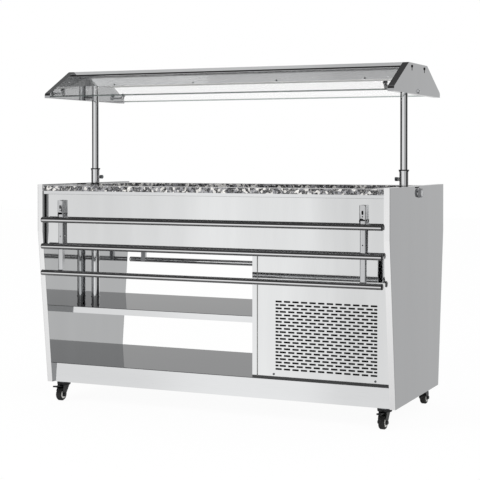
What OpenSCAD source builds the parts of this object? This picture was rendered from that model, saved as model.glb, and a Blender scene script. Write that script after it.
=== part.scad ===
// Mobile refrigerated salad bar: a steel cabinet on castors with a stone worktop round a cold well,
// folding tray slides front and rear, and a glazed canopy on two height-adjustable posts.
// Millimetres. +X runs along the length, -Y is the customer side, +Z is up.
// The origin lies on the floor, under the middle of the cabinet.

/* [Cabinet] */
// Length over the outer faces of the end panels
table_l = 1440; // [1400:10:1600]
// Depth of an end panel at the worktop
table_d = 700; // [680:5:760]
// Height of the end panels' top edge above the floor
table_h = 860; // [850:5:900]
// Depth of an end panel at its foot
foot_d = 560; // [550:5:600]
// Height where the end panels start to taper
kink_h = 675; // [640:5:700]
// Thickness of an end panel
panel_t = 22; // [18:1:30]
// Thickness of the folded steel sheet
sheet = 1.5; // [1:0.1:2]
// How far the fascia stands back from the end panels' front edge
fascia_back = 22; // [18:1:26]

/* [Worktop] */
// Thickness of the stone slab
stone_t = 20; // [15:1:30]
// How far the stone lies below the end panels' top edge
stone_drop = 5; // [2:1:10]
// How far the stone's long edges stand back from the end panels' front edge
stone_back = 2; // [0:0.5:4]
// Height of the steel lip under the stone
rim_h = 12; // [8:1:16]
// Width of the worktop from the well's opening to the cabinet's inner faces
well_border = 73; // [72:1:120]
// Depth of the well below the stone's top face
well_depth = 170; // [120:5:180]
// Corner radius of the well
well_r = 10; // [6:1:20]
// Insulation round the well's long sides
insulation = 44; // [30:1:50]
// Room for insulation under the well
insulation_low = 65; // [50:1:80]
// Bore of the drain
drain_d = 30; // [20:1:40]

/* [Base and shelf] */
// Height of the castors, floor to the underside of the base
castor_h = 75; // [72:1:90]
// Height of the plinth
plinth_h = 75; // [60:1:90]
// How far the front plinth stands back from the end panels' foot
plinth_back = 13; // [10:1:25]
// How far the rear plinth stands back from the end panels' foot
plinth_rear_back = 2; // [1:1:20]
// Height of the shelf's top face
shelf_h = 371; // [340:1:400]
// Height of the shelf's folded edge
shelf_lip = 25; // [15:1:35]
// How far the shelf stands back from the end panels' front edge
shelf_back = 98.5; // [80:0.5:130]
// How far the shelf stands back from the end panels' rear edge
shelf_rear_back = 6.5; // [4:0.5:50]

/* [Machine compartment] */
// Width of the compartment, from the partition's outer face to the end panel
compartment_w = 548; // [520:1:580]
// Width of the partition's edge flange
partition_flange = 20; // [15:1:30]
// How far the front grille panel stands back from the end panels' foot
grille_back = 43; // [35:1:55]
// How far the rear grille panel stands back from the end panels' foot
grille_rear_back = 26; // [20:1:35]
// Length of a ventilation slot
slot_l = 25; // [18:1:27]
// Height of a ventilation slot
slot_h = 5; // [3:0.5:7]
// Spacing of the slots along a row
slot_pitch_x = 33.6; // [30:0.1:36]
// Spacing of the rows
slot_pitch_z = 12.5; // [9:0.1:13]
// Slots in a full row
slot_cols = 12; // [6:1:12]
// Rows of slots
slot_rows = 21; // [11:2:21]
// Height of the lowest row above the base deck
slot_low = 33; // [25:1:45]
// Shift of the slots from the panel's middle
slot_shift = 7; // [0:1:12]
// Width and height of the condenser
coil_w = 250; // [200:5:280]
// Thickness of the condenser
coil_t = 50; // [40:1:60]
// Distance of the condenser from the partition
coil_side = 45; // [30:1:60]
// Distance of the condenser from the front grille panel
coil_back = 22; // [15:1:30]
// Diameter of the fan
fan_d = 190; // [150:5:200]
// Distance of the fan's plane behind the condenser
fan_back = 30; // [26:1:40]
// Diameter of the compressor's shell
compressor_d = 124; // [100:2:140]

/* [Tray slides] */
// Diameter of a tray slide tube
tube_d = 22; // [18:1:26]
// Wall of a tray slide tube
tube_wall = 1.5; // [1:0.1:2.5]
// Spacing of the tubes
tube_pitch = 103; // [90:1:110]
// Gap between a tube's end and the end panel
tube_gap = 5; // [3:0.5:10]
// Distance of the arms from the end panels' inner faces
arm_inset = 79; // [60:1:150]
// Width of an arm
arm_w = 20; // [16:1:26]
// Depth of an arm
arm_d = 15; // [13:0.5:18]
// Wall of the arms and their brackets
arm_wall = 1.8; // [1.5:0.1:2.5]
// Diameter of the arms' hinge pins
hinge_d = 8; // [6:0.5:9]
// Height of the hinge above the top tube's axis
hinge_rise = 21; // [20:0.5:24]
// Height of a bracket above the hinge
bracket_rise = 56; // [48:1:62]
// Gap between a bracket's top and the lip under the stone
bracket_drop = 24; // [10:1:30]

/* [Canopy] */
// How far a canopy end plate stands inside the cabinet's end
canopy_inset = 1; // [0:0.5:5]
// Depth of the canopy at its lower edge
canopy_d = 600; // [560:5:640]
// Depth of the canopy's roof
roof_d = 238; // [220:2:260]
// Height of the canopy's lower edge
canopy_low = 1200; // [1150:5:1280]
// Height of an end plate
canopy_rise = 113; // [108:1:125]
// Height of an end plate's upright flank
flank_h = 17; // [10:1:22]
// Width of the flange round an end plate
flange_w = 24; // [18:1:30]
// Height of the roof's front and rear lips
roof_lip = 12; // [8:1:14]
// Diameter of the two rails under the roof
rail_d = 22; // [18:1:24]
// Distance of the rails from the middle
rail_y = 81; // [76:1:86]
// Height of the lamp housing's underside above the canopy's lower edge
lamp_rise = 57; // [48:1:62]
// Diameter of the lamp
lamp_d = 16; // [12:1:20]
// Thickness of the glass
glass_t = 6; // [4:0.5:8]
// How far the glass lies below the end plates' slope
glass_drop = 14; // [12:0.5:16]
// Distance of the glass clamps from the canopy's ends
clamp_inset = 50; // [40:1:80]
// Distance of the clamps from an end plate's upright flank, level
clamp_in = 50; // [30:1:90]
// Diameter of the clamps' discs
clamp_d = 18; // [14:1:24]

/* [Posts] */
// Diameter of a post
post_d = 28; // [24:1:32]
// Distance of a post's axis from the end panel's inner face
post_inset = 34; // [30:1:38]
// Length of post held in its sleeve
post_in = 346; // [250:1:346]
// Wall of a sleeve
sleeve_wall = 3; // [2:0.1:3.5]
// Height of a sleeve above the stone
sleeve_rise = 61; // [50:1:80]
// Height of the thumbscrew above the stone
screw_rise = 30; // [25:1:40]
// Diameter of the thumbscrew's thread
screw_d = 8; // [6:1:10]
// Diameter of the thumbscrew's head
screw_head_d = 15; // [12:1:20]

/* [Castors] */
// Distance of the castors' swivel axes from the end panels' inner faces
castor_inset = 30; // [26:1:45]
// How far the castors' swivel axes stand back from the end panels' foot
castor_back = 38; // [37:1:60]
// Diameter of a castor wheel
wheel_d = 50; // [46:1:52]
// Width of a castor wheel
wheel_w = 22; // [16:1:24]
// Offset of the wheel from its swivel axis
trail = 20; // [15:1:24]
// Diameter of a castor's axle
axle_d = 8; // [6:1:10]
// Diameter of a castor's mounting disc
crown_d = 48; // [44:1:54]

/* [Controls] */
// Diameter of the thermostat knob
knob_d = 36; // [30:1:40]
// Height of the knob's body
knob_h = 10; // [8:1:16]
// Distance of the knob's axis below the end panel's top edge
knob_drop = 26; // [24:1:40]
// Distance of the knob's axis from the middle of the depth, towards the rear
knob_y = 9; // [0:1:60]
// Length of the slot over the knob in the end panel's face
air_slot_l = 60; // [30:5:80]
// Height of the slot over the knob
air_slot_h = 4; // [2:0.5:5]

/* [Fits] */
// Radial clearance of a pin or shaft that turns or slides
running = 0.05; // [0.02:0.01:0.1]
// Gap between pieces that are only set against each other
seat = 0.3; // [0.2:0.05:0.5]

/* [Hidden] */
$fn = 24;
eps = 0.1;                                   // overrun of a cutter past the face it cuts

inner_x = table_l / 2 - panel_t;             // inner face of an end panel
fascia_y = table_d / 2 - fascia_back;        // front face of the fascia
well_l = 2 * (inner_x - well_border);
well_w = 2 * (fascia_y - well_border);
post_x = inner_x - post_inset;
stone_top_z = table_h - stone_drop;
stone_low_z = stone_top_z - stone_t;
stone_y = table_d / 2 - stone_back;
rim_flange = stone_y - fascia_y + 20;        // the rim's flange reaches 20 behind the fascia
tub_low_z = stone_top_z - well_depth;
fascia_low = tub_low_z - insulation_low;
ceiling_z = fascia_low + sheet;              // the well's casing stands on the fascias' flanges
casing_x = well_l / 2 + 13;
casing_y = well_w / 2 + insulation;
deck_z = castor_h + plinth_h;
foot_y = foot_d / 2;
plinth_y = foot_y - plinth_back;
plinth_rear_y = foot_y - plinth_rear_back;
edge_y = foot_y + (table_d / 2 - foot_y) * (shelf_h - castor_h) / (kink_h - castor_h);
shelf_y = edge_y - shelf_back;               // edge_y is the end panels' edge at the shelf
shelf_rear_y = edge_y - shelf_rear_back;
partition_x = inner_x - compartment_w;
grille_y = foot_y - grille_back;
grille_rear_y = foot_y - grille_rear_back;
castor_x = inner_x - castor_inset;
castor_y = foot_y - castor_back;
sleeve_r = post_d / 2 + running + sleeve_wall;
sleeve_top_z = stone_top_z + sleeve_rise;
sleeve_low_z = shelf_h;
compartment_top = ceiling_z - seat;
compartment_mid = (partition_x + partition_flange + inner_x) / 2;

hinge_z = stone_low_z - rim_h - bracket_drop - bracket_rise;
tube_h = hinge_z - hinge_rise;               // axis of the top tube with the slide folded down
arm_x = inner_x - arm_inset;
hinge_y = fascia_y + arm_wall + 0.5 + arm_d / 2;   // the arm hangs 0.5 off its bracket's back
tube_y = hinge_y + arm_d / 2 + tube_d / 2;
tube_l = 2 * (inner_x - tube_gap);
arm_low_z = tube_h - 2 * tube_pitch - 8;
bracket_w = arm_w + 0.4 + 2 * arm_wall;
bracket_d = arm_d + arm_wall + 0.5 + arm_wall;

canopy_l = table_l - 2 * canopy_inset;
clamp_x = canopy_l / 2 - clamp_inset;
canopy_top = canopy_low + canopy_rise;
plate_in = canopy_l / 2 - sheet;             // inner face of a canopy end plate
roof_x = canopy_l / 2 - flange_w;
slope_y = canopy_d / 2 - roof_d / 2;
slope_z = canopy_rise - flank_h;
slope_a = atan2(slope_z, slope_y);
rail_z = canopy_top - sheet - 0.5 - rail_d / 2;
lamp_z = canopy_low + lamp_rise;
lamp_y = rail_y - rail_d / 2 - seat;
lamp_l = 2 * (post_x - post_d);
post_low_z = sleeve_top_z - post_in;
glass_end = (slope_y - 10) / cos(slope_a);   // the glass ends 10 inside the flank
clamp_s = (slope_y - clamp_in) / cos(slope_a);

// The glass leans against the rail. Measured from the roof's edge, up the slope and square to it,
// the rail's axis lies at rail_s and rail_n.
rail_s = (roof_d / 2 - rail_y) * cos(slope_a) + (rail_z - canopy_top) * sin(slope_a);
rail_n = (roof_d / 2 - rail_y) * sin(slope_a) - (rail_z - canopy_top) * cos(slope_a);
rail_lap = max(0, pow(rail_d / 2 + seat, 2) - pow(rail_n - glass_drop - glass_t, 2));
glass_start = rail_s - sqrt(rail_lap);
nut_z = canopy_low + 12;

fork_x = wheel_w / 2 + 1.5;
wheel_r = wheel_d / 2;
crown_z = castor_h - 3;
pedal_y = -12;
pedal_z = wheel_d + 5;
pedal_pin = 3;

steel = [0.80, 0.81, 0.82];
polished = [0.88, 0.89, 0.90];
dark_steel = [0.45, 0.46, 0.47];
stone_grey = [0.42, 0.42, 0.43];
black = [0.08, 0.08, 0.09];
rubber = [0.13, 0.13, 0.13];
clear_glass = [0.80, 0.90, 0.90, 0.35];
opal = [0.95, 0.95, 0.92];

// ---- shared shapes ----

function unit(v) = v / norm(v);
function left_normal(v) = [-v[1], v[0]];

// A convex outline, listed anticlockwise, moved inwards by t.
function inset(p, t) = [
  for (i = [0 : len(p) - 1])
    let (
      n = len(p),
      before = left_normal(unit(p[i] - p[(i + n - 1) % n])),
      after = left_normal(unit(p[(i + 1) % n] - p[i]))
    )
    p[i] + t * (before + after) / (1 + before * after)
];

// A rounded corner between two straight edges, as points of an arc.
function corner(p, a, b, r, n = 3) =
  let (
    u = unit(a - p),
    v = unit(b - p),
    half = acos(u * v) / 2,
    centre = p + unit(u + v) * r / sin(half),
    from = p + u * r / tan(half) - centre,
    to = p + v * r / tan(half) - centre,
    a0 = atan2(from[1], from[0]),
    turn = (atan2(to[1], to[0]) - a0 + 540) % 360 - 180
  )
  [for (i = [0 : n]) centre + r * [cos(a0 + turn * i / n), sin(a0 + turn * i / n)]];

// Draws a YZ outline as a slab from x0 to x0 + t.
module slab_x(x0, t) {
  translate([x0, 0, 0])
    rotate([90, 0, 90])
      linear_extrude(t) children();
}

module box(x, y, z) {
  translate([x[0], y[0], z[0]]) cube([x[1] - x[0], y[1] - y[0], z[1] - z[0]]);
}

module rod_x(x0, x1, d) {
  translate([x0, 0, 0]) rotate([0, 90, 0]) cylinder(h = x1 - x0, d = d);
}

module tube_x(x0, x1, d, wall) {
  difference() {
    rod_x(x0, x1, d);
    rod_x(x0 - eps, x1 + eps, d - 2 * wall);
  }
}

module rounded(l, w, r) {
  square([l - 2 * r, w], center = true);
  square([l, w - 2 * r], center = true);
  for (x = [-1, 1], y = [-1, 1]) translate([x * (l / 2 - r), y * (w / 2 - r)]) circle(r);
}

module mirror_x(side) {
  mirror([side < 0 ? 1 : 0, 0, 0]) children();
}

module mirror_y(side) {
  mirror([0, side < 0 ? 0 : 1, 0]) children();
}

// ---- end panels ----

function panel_outline() = [
  [-foot_d / 2, castor_h],
  [foot_d / 2, castor_h],
  [table_d / 2, kink_h],
  [table_d / 2, table_h],
  [-table_d / 2, table_h],
  [-table_d / 2, kink_h]
];

// A tray of folded sheet, open to the inside: outer skin and four returns.
module end_panel(side) {
  color(steel) mirror_x(side) {
    slab_x(table_l / 2 - sheet, sheet) polygon(panel_outline());
    slab_x(inner_x, panel_t - sheet) difference() {
      polygon(panel_outline());
      polygon(inset(panel_outline(), sheet));
    }
  }
}

air_slot_y = knob_y + 6;

// The machine side's panel has a bore for the thermostat and a slot that lets its pocket breathe.
module end_panel_right() {
  difference() {
    end_panel(1);
    translate([0, knob_y, table_h - knob_drop]) rod_x(table_l / 2 - 5, table_l / 2 + 1, 7);
    box([table_l / 2 - sheet - 1, table_l], [air_slot_y - air_slot_l, air_slot_y],
        [table_h - 3 - air_slot_h, table_h - 3]);
  }
}

// The polished inner skin, set into the tray flush with its returns.
module end_liner(side) {
  color(polished) mirror_x(side)
    slab_x(inner_x, sheet) polygon(inset(panel_outline(), sheet + seat));
}

// ---- worktop and well ----

module stone_top() {
  color(stone_grey) translate([0, 0, stone_low_z]) difference() {
    linear_extrude(stone_t) difference() {
      square([2 * inner_x, 2 * stone_y], center = true);
      rounded(well_l, well_w, well_r);
    }
    for (x = [-post_x, post_x])
      translate([x, 0, -eps]) cylinder(h = stone_t + 2 * eps, r = sleeve_r + seat);
  }
}

module rim_ring(l, w, side_w, long_w, h) {
  linear_extrude(h) difference() {
    square([l, w], center = true);
    square([l - 2 * side_w, w - 2 * long_w], center = true);
  }
}

// A frame that carries the stone: flat flange on top, a lip hanging down along both long edges.
module top_rim() {
  color(polished) {
    translate([0, 0, stone_low_z - sheet])
      rim_ring(2 * inner_x, 2 * (stone_y - 3), 12, rim_flange, sheet);
    for (side = [-1, 1]) mirror_y(side)
      box([-inner_x, inner_x], [3 - stone_y, 3 - stone_y + sheet], [stone_low_z - rim_h, stone_low_z]);
  }
}

// Face sheet with a flange turned in along its lower edge, where the well's casing rests.
module fascia(side) {
  color(steel) mirror_y(side) {
    box([-inner_x, inner_x], [-fascia_y, -fascia_y + sheet], [fascia_low, stone_low_z - sheet]);
    box([-inner_x, inner_x], [-fascia_y, -casing_y + 12], [fascia_low, fascia_low + sheet]);
  }
}

module well_tub() {
  color(polished) difference() {
    union() {
      translate([0, 0, tub_low_z - sheet]) linear_extrude(stone_low_z - tub_low_z + sheet)
        rounded(well_l + 2 * sheet, well_w + 2 * sheet, well_r + sheet);
      translate([0, 0, stone_low_z - sheet]) linear_extrude(sheet)
        rounded(well_l + 26, well_w + 2 * insulation, well_r + sheet);
    }
    translate([0, 0, tub_low_z]) linear_extrude(stone_t + well_depth) rounded(well_l, well_w, well_r);
    translate([compartment_mid, 0, tub_low_z - 2 * sheet]) cylinder(h = 4 * sheet, d = drain_d);
  }
}

// Sheet casing that leaves room for the insulation round the tub. Its floor runs on to the end
// panels and closes the bay's ceiling; its top edges carry the tub's flange.
module well_casing() {
  color(steel) difference() {
    union() {
      difference() {
        box([-casing_x, casing_x], [-casing_y, casing_y], [ceiling_z, stone_low_z - sheet]);
        box([sheet - casing_x, casing_x - sheet], [sheet - casing_y, casing_y - sheet],
            [ceiling_z + sheet, stone_top_z]);
      }
      box([-inner_x, inner_x], [-casing_y, casing_y], [ceiling_z, ceiling_z + sheet]);
    }
    translate([compartment_mid, 0, ceiling_z - eps])
      cylinder(h = stone_t + well_depth, r = drain_d / 2 + 2 + seat);
    for (x = [-post_x, post_x])
      translate([x, 0, ceiling_z - eps]) cylinder(h = 4 * sheet, r = sleeve_r + seat);
  }
}

module drain_pipe() {
  color(polished) translate([compartment_mid, 0, 0]) {
    difference() {
      union() {
        translate([0, 0, fascia_low - 50])
          cylinder(h = tub_low_z - sheet - fascia_low + 50, r = drain_d / 2 + 2);
        translate([0, 0, fascia_low - 62]) cylinder(h = 22, r = drain_d / 2 + 7);
      }
      translate([0, 0, fascia_low - 56])
        cylinder(h = tub_low_z - fascia_low + 60, r = drain_d / 2);
    }
  }
}

// ---- shelf, base and partition ----

// A sheet folded down along both long edges, with a short return at the bottom of each fold.
module folded_shelf(x, y, top, lip) {
  box(x, y, [top - sheet, top]);
  box(x, [y[0], y[0] + sheet], [top - lip, top]);
  box(x, [y[1] - sheet, y[1]], [top - lip, top]);
  box(x, [y[0], y[0] + 12], [top - lip, top - lip + sheet]);
  box(x, [y[1] - 12, y[1]], [top - lip, top - lip + sheet]);
}

module mid_shelf() {
  color(steel) folded_shelf([-inner_x, partition_x], [-shelf_y, shelf_rear_y], shelf_h, shelf_lip);
}

module base_deck() {
  y = [-plinth_y, plinth_rear_y];
  color(steel) {
    box([-inner_x, inner_x], y, [deck_z - sheet, deck_z]);
    box([-inner_x, inner_x], [y[0], y[0] + sheet], [castor_h, deck_z]);
    box([-inner_x, inner_x], [y[1] - sheet, y[1]], [castor_h, deck_z]);
  }
}

// Channels across the base, over the castors.
module base_rails() {
  w = 2 * (inner_x - castor_x);
  color(steel) for (side = [-1, 1]) mirror_x(side) difference() {
    box([inner_x - w, inner_x], [-plinth_y + sheet, plinth_rear_y - sheet], [castor_h, deck_z - sheet]);
    box([inner_x - w + 3, inner_x - 3], [-table_d, table_d], [castor_h + 3, deck_z]);
  }
}

module partition_wall() {
  x = [partition_x, partition_x + sheet];
  y = [-grille_y, grille_rear_y];
  edge = [partition_x, partition_x + partition_flange];
  color(steel) {
    box(x, y, [deck_z, compartment_top]);
    box(edge, [y[0], y[0] + sheet], [deck_z, compartment_top]);
    box(edge, [y[1] - sheet, y[1]], [deck_z, compartment_top]);
    box(edge, y, [compartment_top - sheet, compartment_top]);
    box(edge, y, [deck_z, deck_z + sheet]);
  }
}

// A slot whose round ends are drawn with two facets each, because there are so many.
module vent_slot(l) {
  flat = l / 2 - 0.3 * slot_h;
  r = slot_h / 2;
  polygon([[-l / 2, 0], [-flat, -r], [flat, -r], [l / 2, 0], [flat, r], [-flat, r]]);
}

// Full rows, and between them, where asked for, rows shifted half a pitch that start and end with
// a short slot.
module vent_pattern(staggered) {
  half = (slot_cols - 1) / 2;
  short = slot_l - slot_pitch_x / 2 + 4;
  for (row = [0 : slot_rows - 1])
    translate([0, row * slot_pitch_z])
      if (row % 2 == 0) {
        for (i = [0 : slot_cols - 1]) translate([(i - half) * slot_pitch_x, 0]) vent_slot(slot_l);
      } else if (staggered) {
        for (i = [1 : slot_cols - 1])
          translate([(i - half - 0.5) * slot_pitch_x, 0]) vent_slot(slot_l);
        for (side = [-1, 1])
          translate([side * (half * slot_pitch_x + (slot_l - short) / 2), 0]) vent_slot(short);
      }
}

// A removable panel: face sheet with its edges turned in. The rear one has the full rows only.
module grille_panel(y, out) {
  x = [partition_x + partition_flange + seat, inner_x];
  z = [deck_z, compartment_top];
  face = out < 0 ? [-y, -y + sheet] : [y - sheet, y];
  back = out < 0 ? [-y, -y + 12] : [y - 12, y];
  color(steel) difference() {
    union() {
      box(x, face, z);
      box([x[0], x[0] + sheet], back, z);
      box([x[1] - sheet, x[1]], back, z);
      box(x, back, [z[0], z[0] + sheet]);
      box(x, back, [z[1] - sheet, z[1]]);
    }
    translate([compartment_mid + slot_shift, out * y + 15, deck_z + slot_low])
      rotate([90, 0, 0]) linear_extrude(30) vent_pattern(out < 0);
  }
}

function panel_screw_x() = [for (s = [-1, 1]) compartment_mid + s * (inner_x - partition_x) * 0.36];

module pan_head(d, h) {
  rotate_extrude($fn = 16) polygon([[0, 0], [d / 2, 0], [d / 2, h * 0.5], [d * 0.3, h], [0, h]]);
}

module panel_screws() {
  color(dark_steel) {
    for (x = panel_screw_x()) {
      translate([x, -grille_y, deck_z + 13]) rotate([90, 0, 0]) pan_head(8, 3);
      translate([x, grille_rear_y, deck_z + 13]) rotate([-90, 0, 0]) pan_head(8, 3);
    }
  }
}

// ---- cold machinery ----

module compressor() {
  r = compressor_d / 2;
  color(black) translate([inner_x - 1.9 * r, 70, deck_z]) {
    translate([0, 0, 18]) rotate_extrude() polygon(concat(
      [[0, 0], [r - 14, 0], [r, 14]],
      [for (i = [0 : 4]) [(r - 4) * cos(i * 22.5), 92 + 58 * sin(i * 22.5)]]
    ));
    box([-r - 12, r + 12], [-r * 0.7, r * 0.7], [12, 18.5]);
    for (x = [-1, 1], y = [-1, 1])
      translate([x * (r + 2), y * (r * 0.7 - 10), 0]) cylinder(h = 12.5, r = 8);
  }
}

fan_r = fan_d / 2;
coil_x = [partition_x + coil_side, partition_x + coil_side + coil_w];
coil_z = [deck_z, deck_z + coil_w];
coil_y = [-grille_y + coil_back, -grille_y + coil_back + coil_t];
fan_x = (coil_x[0] + coil_x[1]) / 2;
fan_z = deck_z + coil_w / 2;
fan_y = coil_y[1] + fan_back;

// Two side plates, fins between them and the tube rows that carry the fins.
module condenser() {
  fins = 24;
  step = (coil_x[1] - coil_x[0] - 4) / fins;
  color(dark_steel) {
    for (x = [coil_x[0], coil_x[1] - 2]) box([x, x + 2], coil_y, coil_z);
    for (i = [1 : fins - 1])
      box([coil_x[0] + 2 + i * step, coil_x[0] + 2.5 + i * step], coil_y + [3, -3], coil_z + [4, -4]);
    for (i = [0 : 4])
      translate([0, (coil_y[0] + coil_y[1]) / 2, coil_z[0] + 25 + i * 50])
        rod_x(coil_x[0] - 4, coil_x[1] + 4, 9.5);
  }
}

// Square plate with a round mouth, a motor on three struts and its shaft.
module fan_shroud() {
  color(dark_steel) {
    difference() {
      box(coil_x, [coil_y[1] + seat, fan_y + 12], coil_z);
      box(coil_x + [2, -2], [coil_y[1] - eps, fan_y + 10.5], coil_z + [2, -2]);
      translate([fan_x, fan_y + 20, fan_z]) rotate([90, 0, 0]) cylinder(h = 20, r = fan_r + 4);
    }
    translate([fan_x, 0, fan_z]) {
      for (a = [90, 210, 330]) rotate([0, a, 0]) box([20, fan_r + 12], [fan_y + 12, fan_y + 15], [-4, 4]);
      translate([0, fan_y + 52, 0]) rotate([90, 0, 0]) cylinder(h = 40, r = 30);
      translate([0, fan_y + 14, 0]) rotate([90, 0, 0]) cylinder(h = 26, d = 6);
    }
  }
}

hub_r = fan_d * 0.116;

module fan_rotor() {
  color(steel) translate([fan_x, fan_y, fan_z]) rotate([90, 0, 0]) difference() {
    union() {
      translate([0, 0, -8]) cylinder(h = 16, r = hub_r);
      for (i = [0 : 4]) rotate(i * 72) translate([hub_r - 2, 0, 0]) rotate([28, 0, 0])
        translate([0, -hub_r, -0.6]) cube([fan_r - hub_r - 2, 2 * hub_r, 1.2]);
    }
    translate([0, 0, -30]) cylinder(h = 60, d = 6 + 2 * running);
  }
}

bezel_h = 1.5;

module thermostat_bezel() {
  color(black) translate([table_l / 2, knob_y, table_h - knob_drop]) rotate([0, 90, 0]) difference() {
    cylinder(h = bezel_h, d1 = knob_d + 4, d2 = knob_d + 2);
    translate([0, 0, -eps]) cylinder(h = bezel_h + 1, d = 7);
  }
}

// A fluted cap with a shallow seat in its face, a pointer rib and a shaft into the panel.
module thermostat_knob() {
  h0 = bezel_h + seat;
  r = knob_d / 2;
  color(black) translate([table_l / 2, knob_y, table_h - knob_drop]) rotate([0, 90, 0]) {
    translate([0, 0, h0]) difference() {
      rotate_extrude() polygon([
        [0, 0], [r, 0], [r, knob_h * 0.25], [r - 1.5, knob_h * 0.35], [r - 2, knob_h - 0.8],
        [r - 2.8, knob_h], [r - 5, knob_h], [r - 5, knob_h - 1], [0, knob_h - 1]
      ]);
      for (i = [0 : 11]) rotate(15 + i * 30)
        translate([r - 0.8, 0, knob_h * 0.35]) cylinder(h = knob_h, r = 1.6, $fn = 14);
    }
    translate([5 - r, 0, h0 + knob_h - 1.5]) linear_extrude(2) square([8, 2], center = true);
    translate([0, 0, -12]) cylinder(h = h0 + 12.5, d = 7 - 2 * running);
  }
}

module cable_gland() {
  color(black) translate([inner_x - 90, plinth_rear_y, castor_h + plinth_h * 0.45]) rotate([-90, 0, 0])
    difference() {
      union() {
        cylinder(h = 6, d = 26, $fn = 6);
        cylinder(h = 16, d = 20);
      }
      translate([0, 0, -eps]) cylinder(h = 20, d = 10);
    }
}

// ---- tray slides ----

// A box-section bracket whose front is open below the hinge, so that the arm can swing out.
module slide_bracket() {
  y0 = -fascia_y - bracket_d;
  z0 = hinge_z - arm_d;
  z1 = hinge_z + bracket_rise;
  open_z = hinge_z + arm_d / 2 + 1;
  difference() {
    box([-bracket_w / 2, bracket_w / 2], [y0, -fascia_y], [z0, z1]);
    box([-bracket_w / 2 + arm_wall, bracket_w / 2 - arm_wall], [y0 + arm_wall, -fascia_y - arm_wall],
        [z0 - eps, z1 + eps]);
    box([-bracket_w / 2 + arm_wall, bracket_w / 2 - arm_wall], [y0 - eps, y0 + 2 * arm_wall],
        [z0 - eps, open_z]);
    translate([0, -fascia_y - 6, open_z + 21]) rotate([90, 0, 0]) linear_extrude(table_d) {
      square([7, 8], center = true);
      for (z = [-4, 4]) translate([0, z]) circle(3.5);
    }
    translate([0, -fascia_y - 6, open_z + 7]) rotate([90, 0, 0]) cylinder(h = table_d, d = 5);
  }
}

module hinge_pin() {
  translate([0, -hinge_y, hinge_z]) {
    rod_x(-bracket_w / 2 - 1, bracket_w / 2 + 1, hinge_d);
    for (side = [-1, 1]) mirror_x(side)
      translate([bracket_w / 2 - 0.1, 0, 0]) rotate([0, 90, 0]) pan_head(hinge_d + 5, 3);
  }
}

module slide_brackets() {
  color(polished) for (side = [-1, 1], x = [-arm_x, arm_x])
    mirror_y(side) translate([x, 0, 0]) {
      slide_bracket();
      hinge_pin();
    }
}

// A channel with its web to the front, rounded at the top about the hinge.
module slide_arm() {
  y0 = -hinge_y - arm_d / 2;
  difference() {
    union() {
      box([-arm_w / 2, arm_w / 2], [y0, y0 + arm_d], [arm_low_z, hinge_z]);
      translate([0, -hinge_y, hinge_z]) rod_x(-arm_w / 2, arm_w / 2, arm_d);
    }
    box([-arm_w / 2 + arm_wall, arm_w / 2 - arm_wall], [y0 + arm_wall, y0 + 2 * arm_d],
        [arm_low_z - eps, hinge_z + arm_d]);
    box([-arm_w / 2 + arm_wall, arm_w / 2 - arm_wall], [y0 - arm_d, y0 + arm_d],
        [hinge_z, hinge_z + arm_d]);
    translate([0, -hinge_y, hinge_z]) rod_x(-arm_w, arm_w, hinge_d + 2 * running);
    translate([0, y0 + 5, tube_h - 0.62 * tube_pitch]) rotate([90, 0, 0]) cylinder(h = 10, d = 5);
  }
}

module slide_arms(side) {
  color(polished) for (x = [-arm_x, arm_x]) mirror_y(side) translate([x, 0, 0]) slide_arm();
}

module at_tubes(side) {
  mirror_y(side) for (i = [0 : 2]) translate([0, -tube_y, tube_h - i * tube_pitch]) children();
}

module slide_tubes(side) {
  color(polished) at_tubes(side) tube_x(-tube_l / 2, tube_l / 2, tube_d, tube_wall);
}

// Plastic plugs that close the tubes' ends, domed outside, with a neck that fits the bore.
module tube_plugs(side) {
  neck = tube_d / 2 - tube_wall - seat;
  color(black) at_tubes(side) for (end = [-1, 1]) mirror_x(end) translate([tube_l / 2, 0, 0])
    rotate([0, 90, 0]) rotate_extrude() polygon([
      [0, -12], [neck, -12], [neck, 0], [tube_d / 2, 0], [tube_d / 2, 1.5],
      [tube_d / 2 - 1.2, 3.2], [tube_d / 2 - 4, 4], [0, 4]
    ]);
}

// ---- posts, sleeves and thumbscrews ----

boss_l = 6;
screw_z = stone_top_z + screw_rise;

// Tube through the worktop down to the shelf, with a collar at each end and a tapped boss.
module sleeve(side) {
  color(polished) mirror_x(side) {
    translate([post_x, 0, 0]) difference() {
      union() {
        translate([0, 0, sleeve_low_z]) cylinder(h = sleeve_top_z - sleeve_low_z, r = sleeve_r);
        translate([0, 0, sleeve_top_z - 4]) cylinder(h = 4, r = sleeve_r + 1.5);
        translate([0, 0, sleeve_low_z + 14]) cylinder(h = 6, r = sleeve_r + 2);
        translate([0, 0, screw_z]) rod_x(-sleeve_r - boss_l, 0, screw_head_d - 1);
      }
      translate([0, 0, sleeve_low_z - eps])
        cylinder(h = sleeve_top_z - sleeve_low_z + 2 * eps, r = post_d / 2 + running);
      translate([0, 0, screw_z]) rod_x(-sleeve_r - 2 * boss_l, 0, screw_d + 2 * running);
    }
  }
}

// The machine side has no shelf, so an angle on the end panel carries the sleeve's foot.
module sleeve_angle() {
  color(steel) {
    half = sleeve_r + 15;
    box([post_x - sleeve_r - 12, inner_x], [-half, half], [sleeve_low_z - 2 * sheet, sleeve_low_z]);
    box([inner_x - 2 * sheet, inner_x], [-half, half], [sleeve_low_z - 2 * sleeve_r - 6, sleeve_low_z]);
  }
}

module sleeve_left() {
  sleeve(-1);
}

module sleeve_right() {
  sleeve(1);
  sleeve_angle();
}

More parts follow.
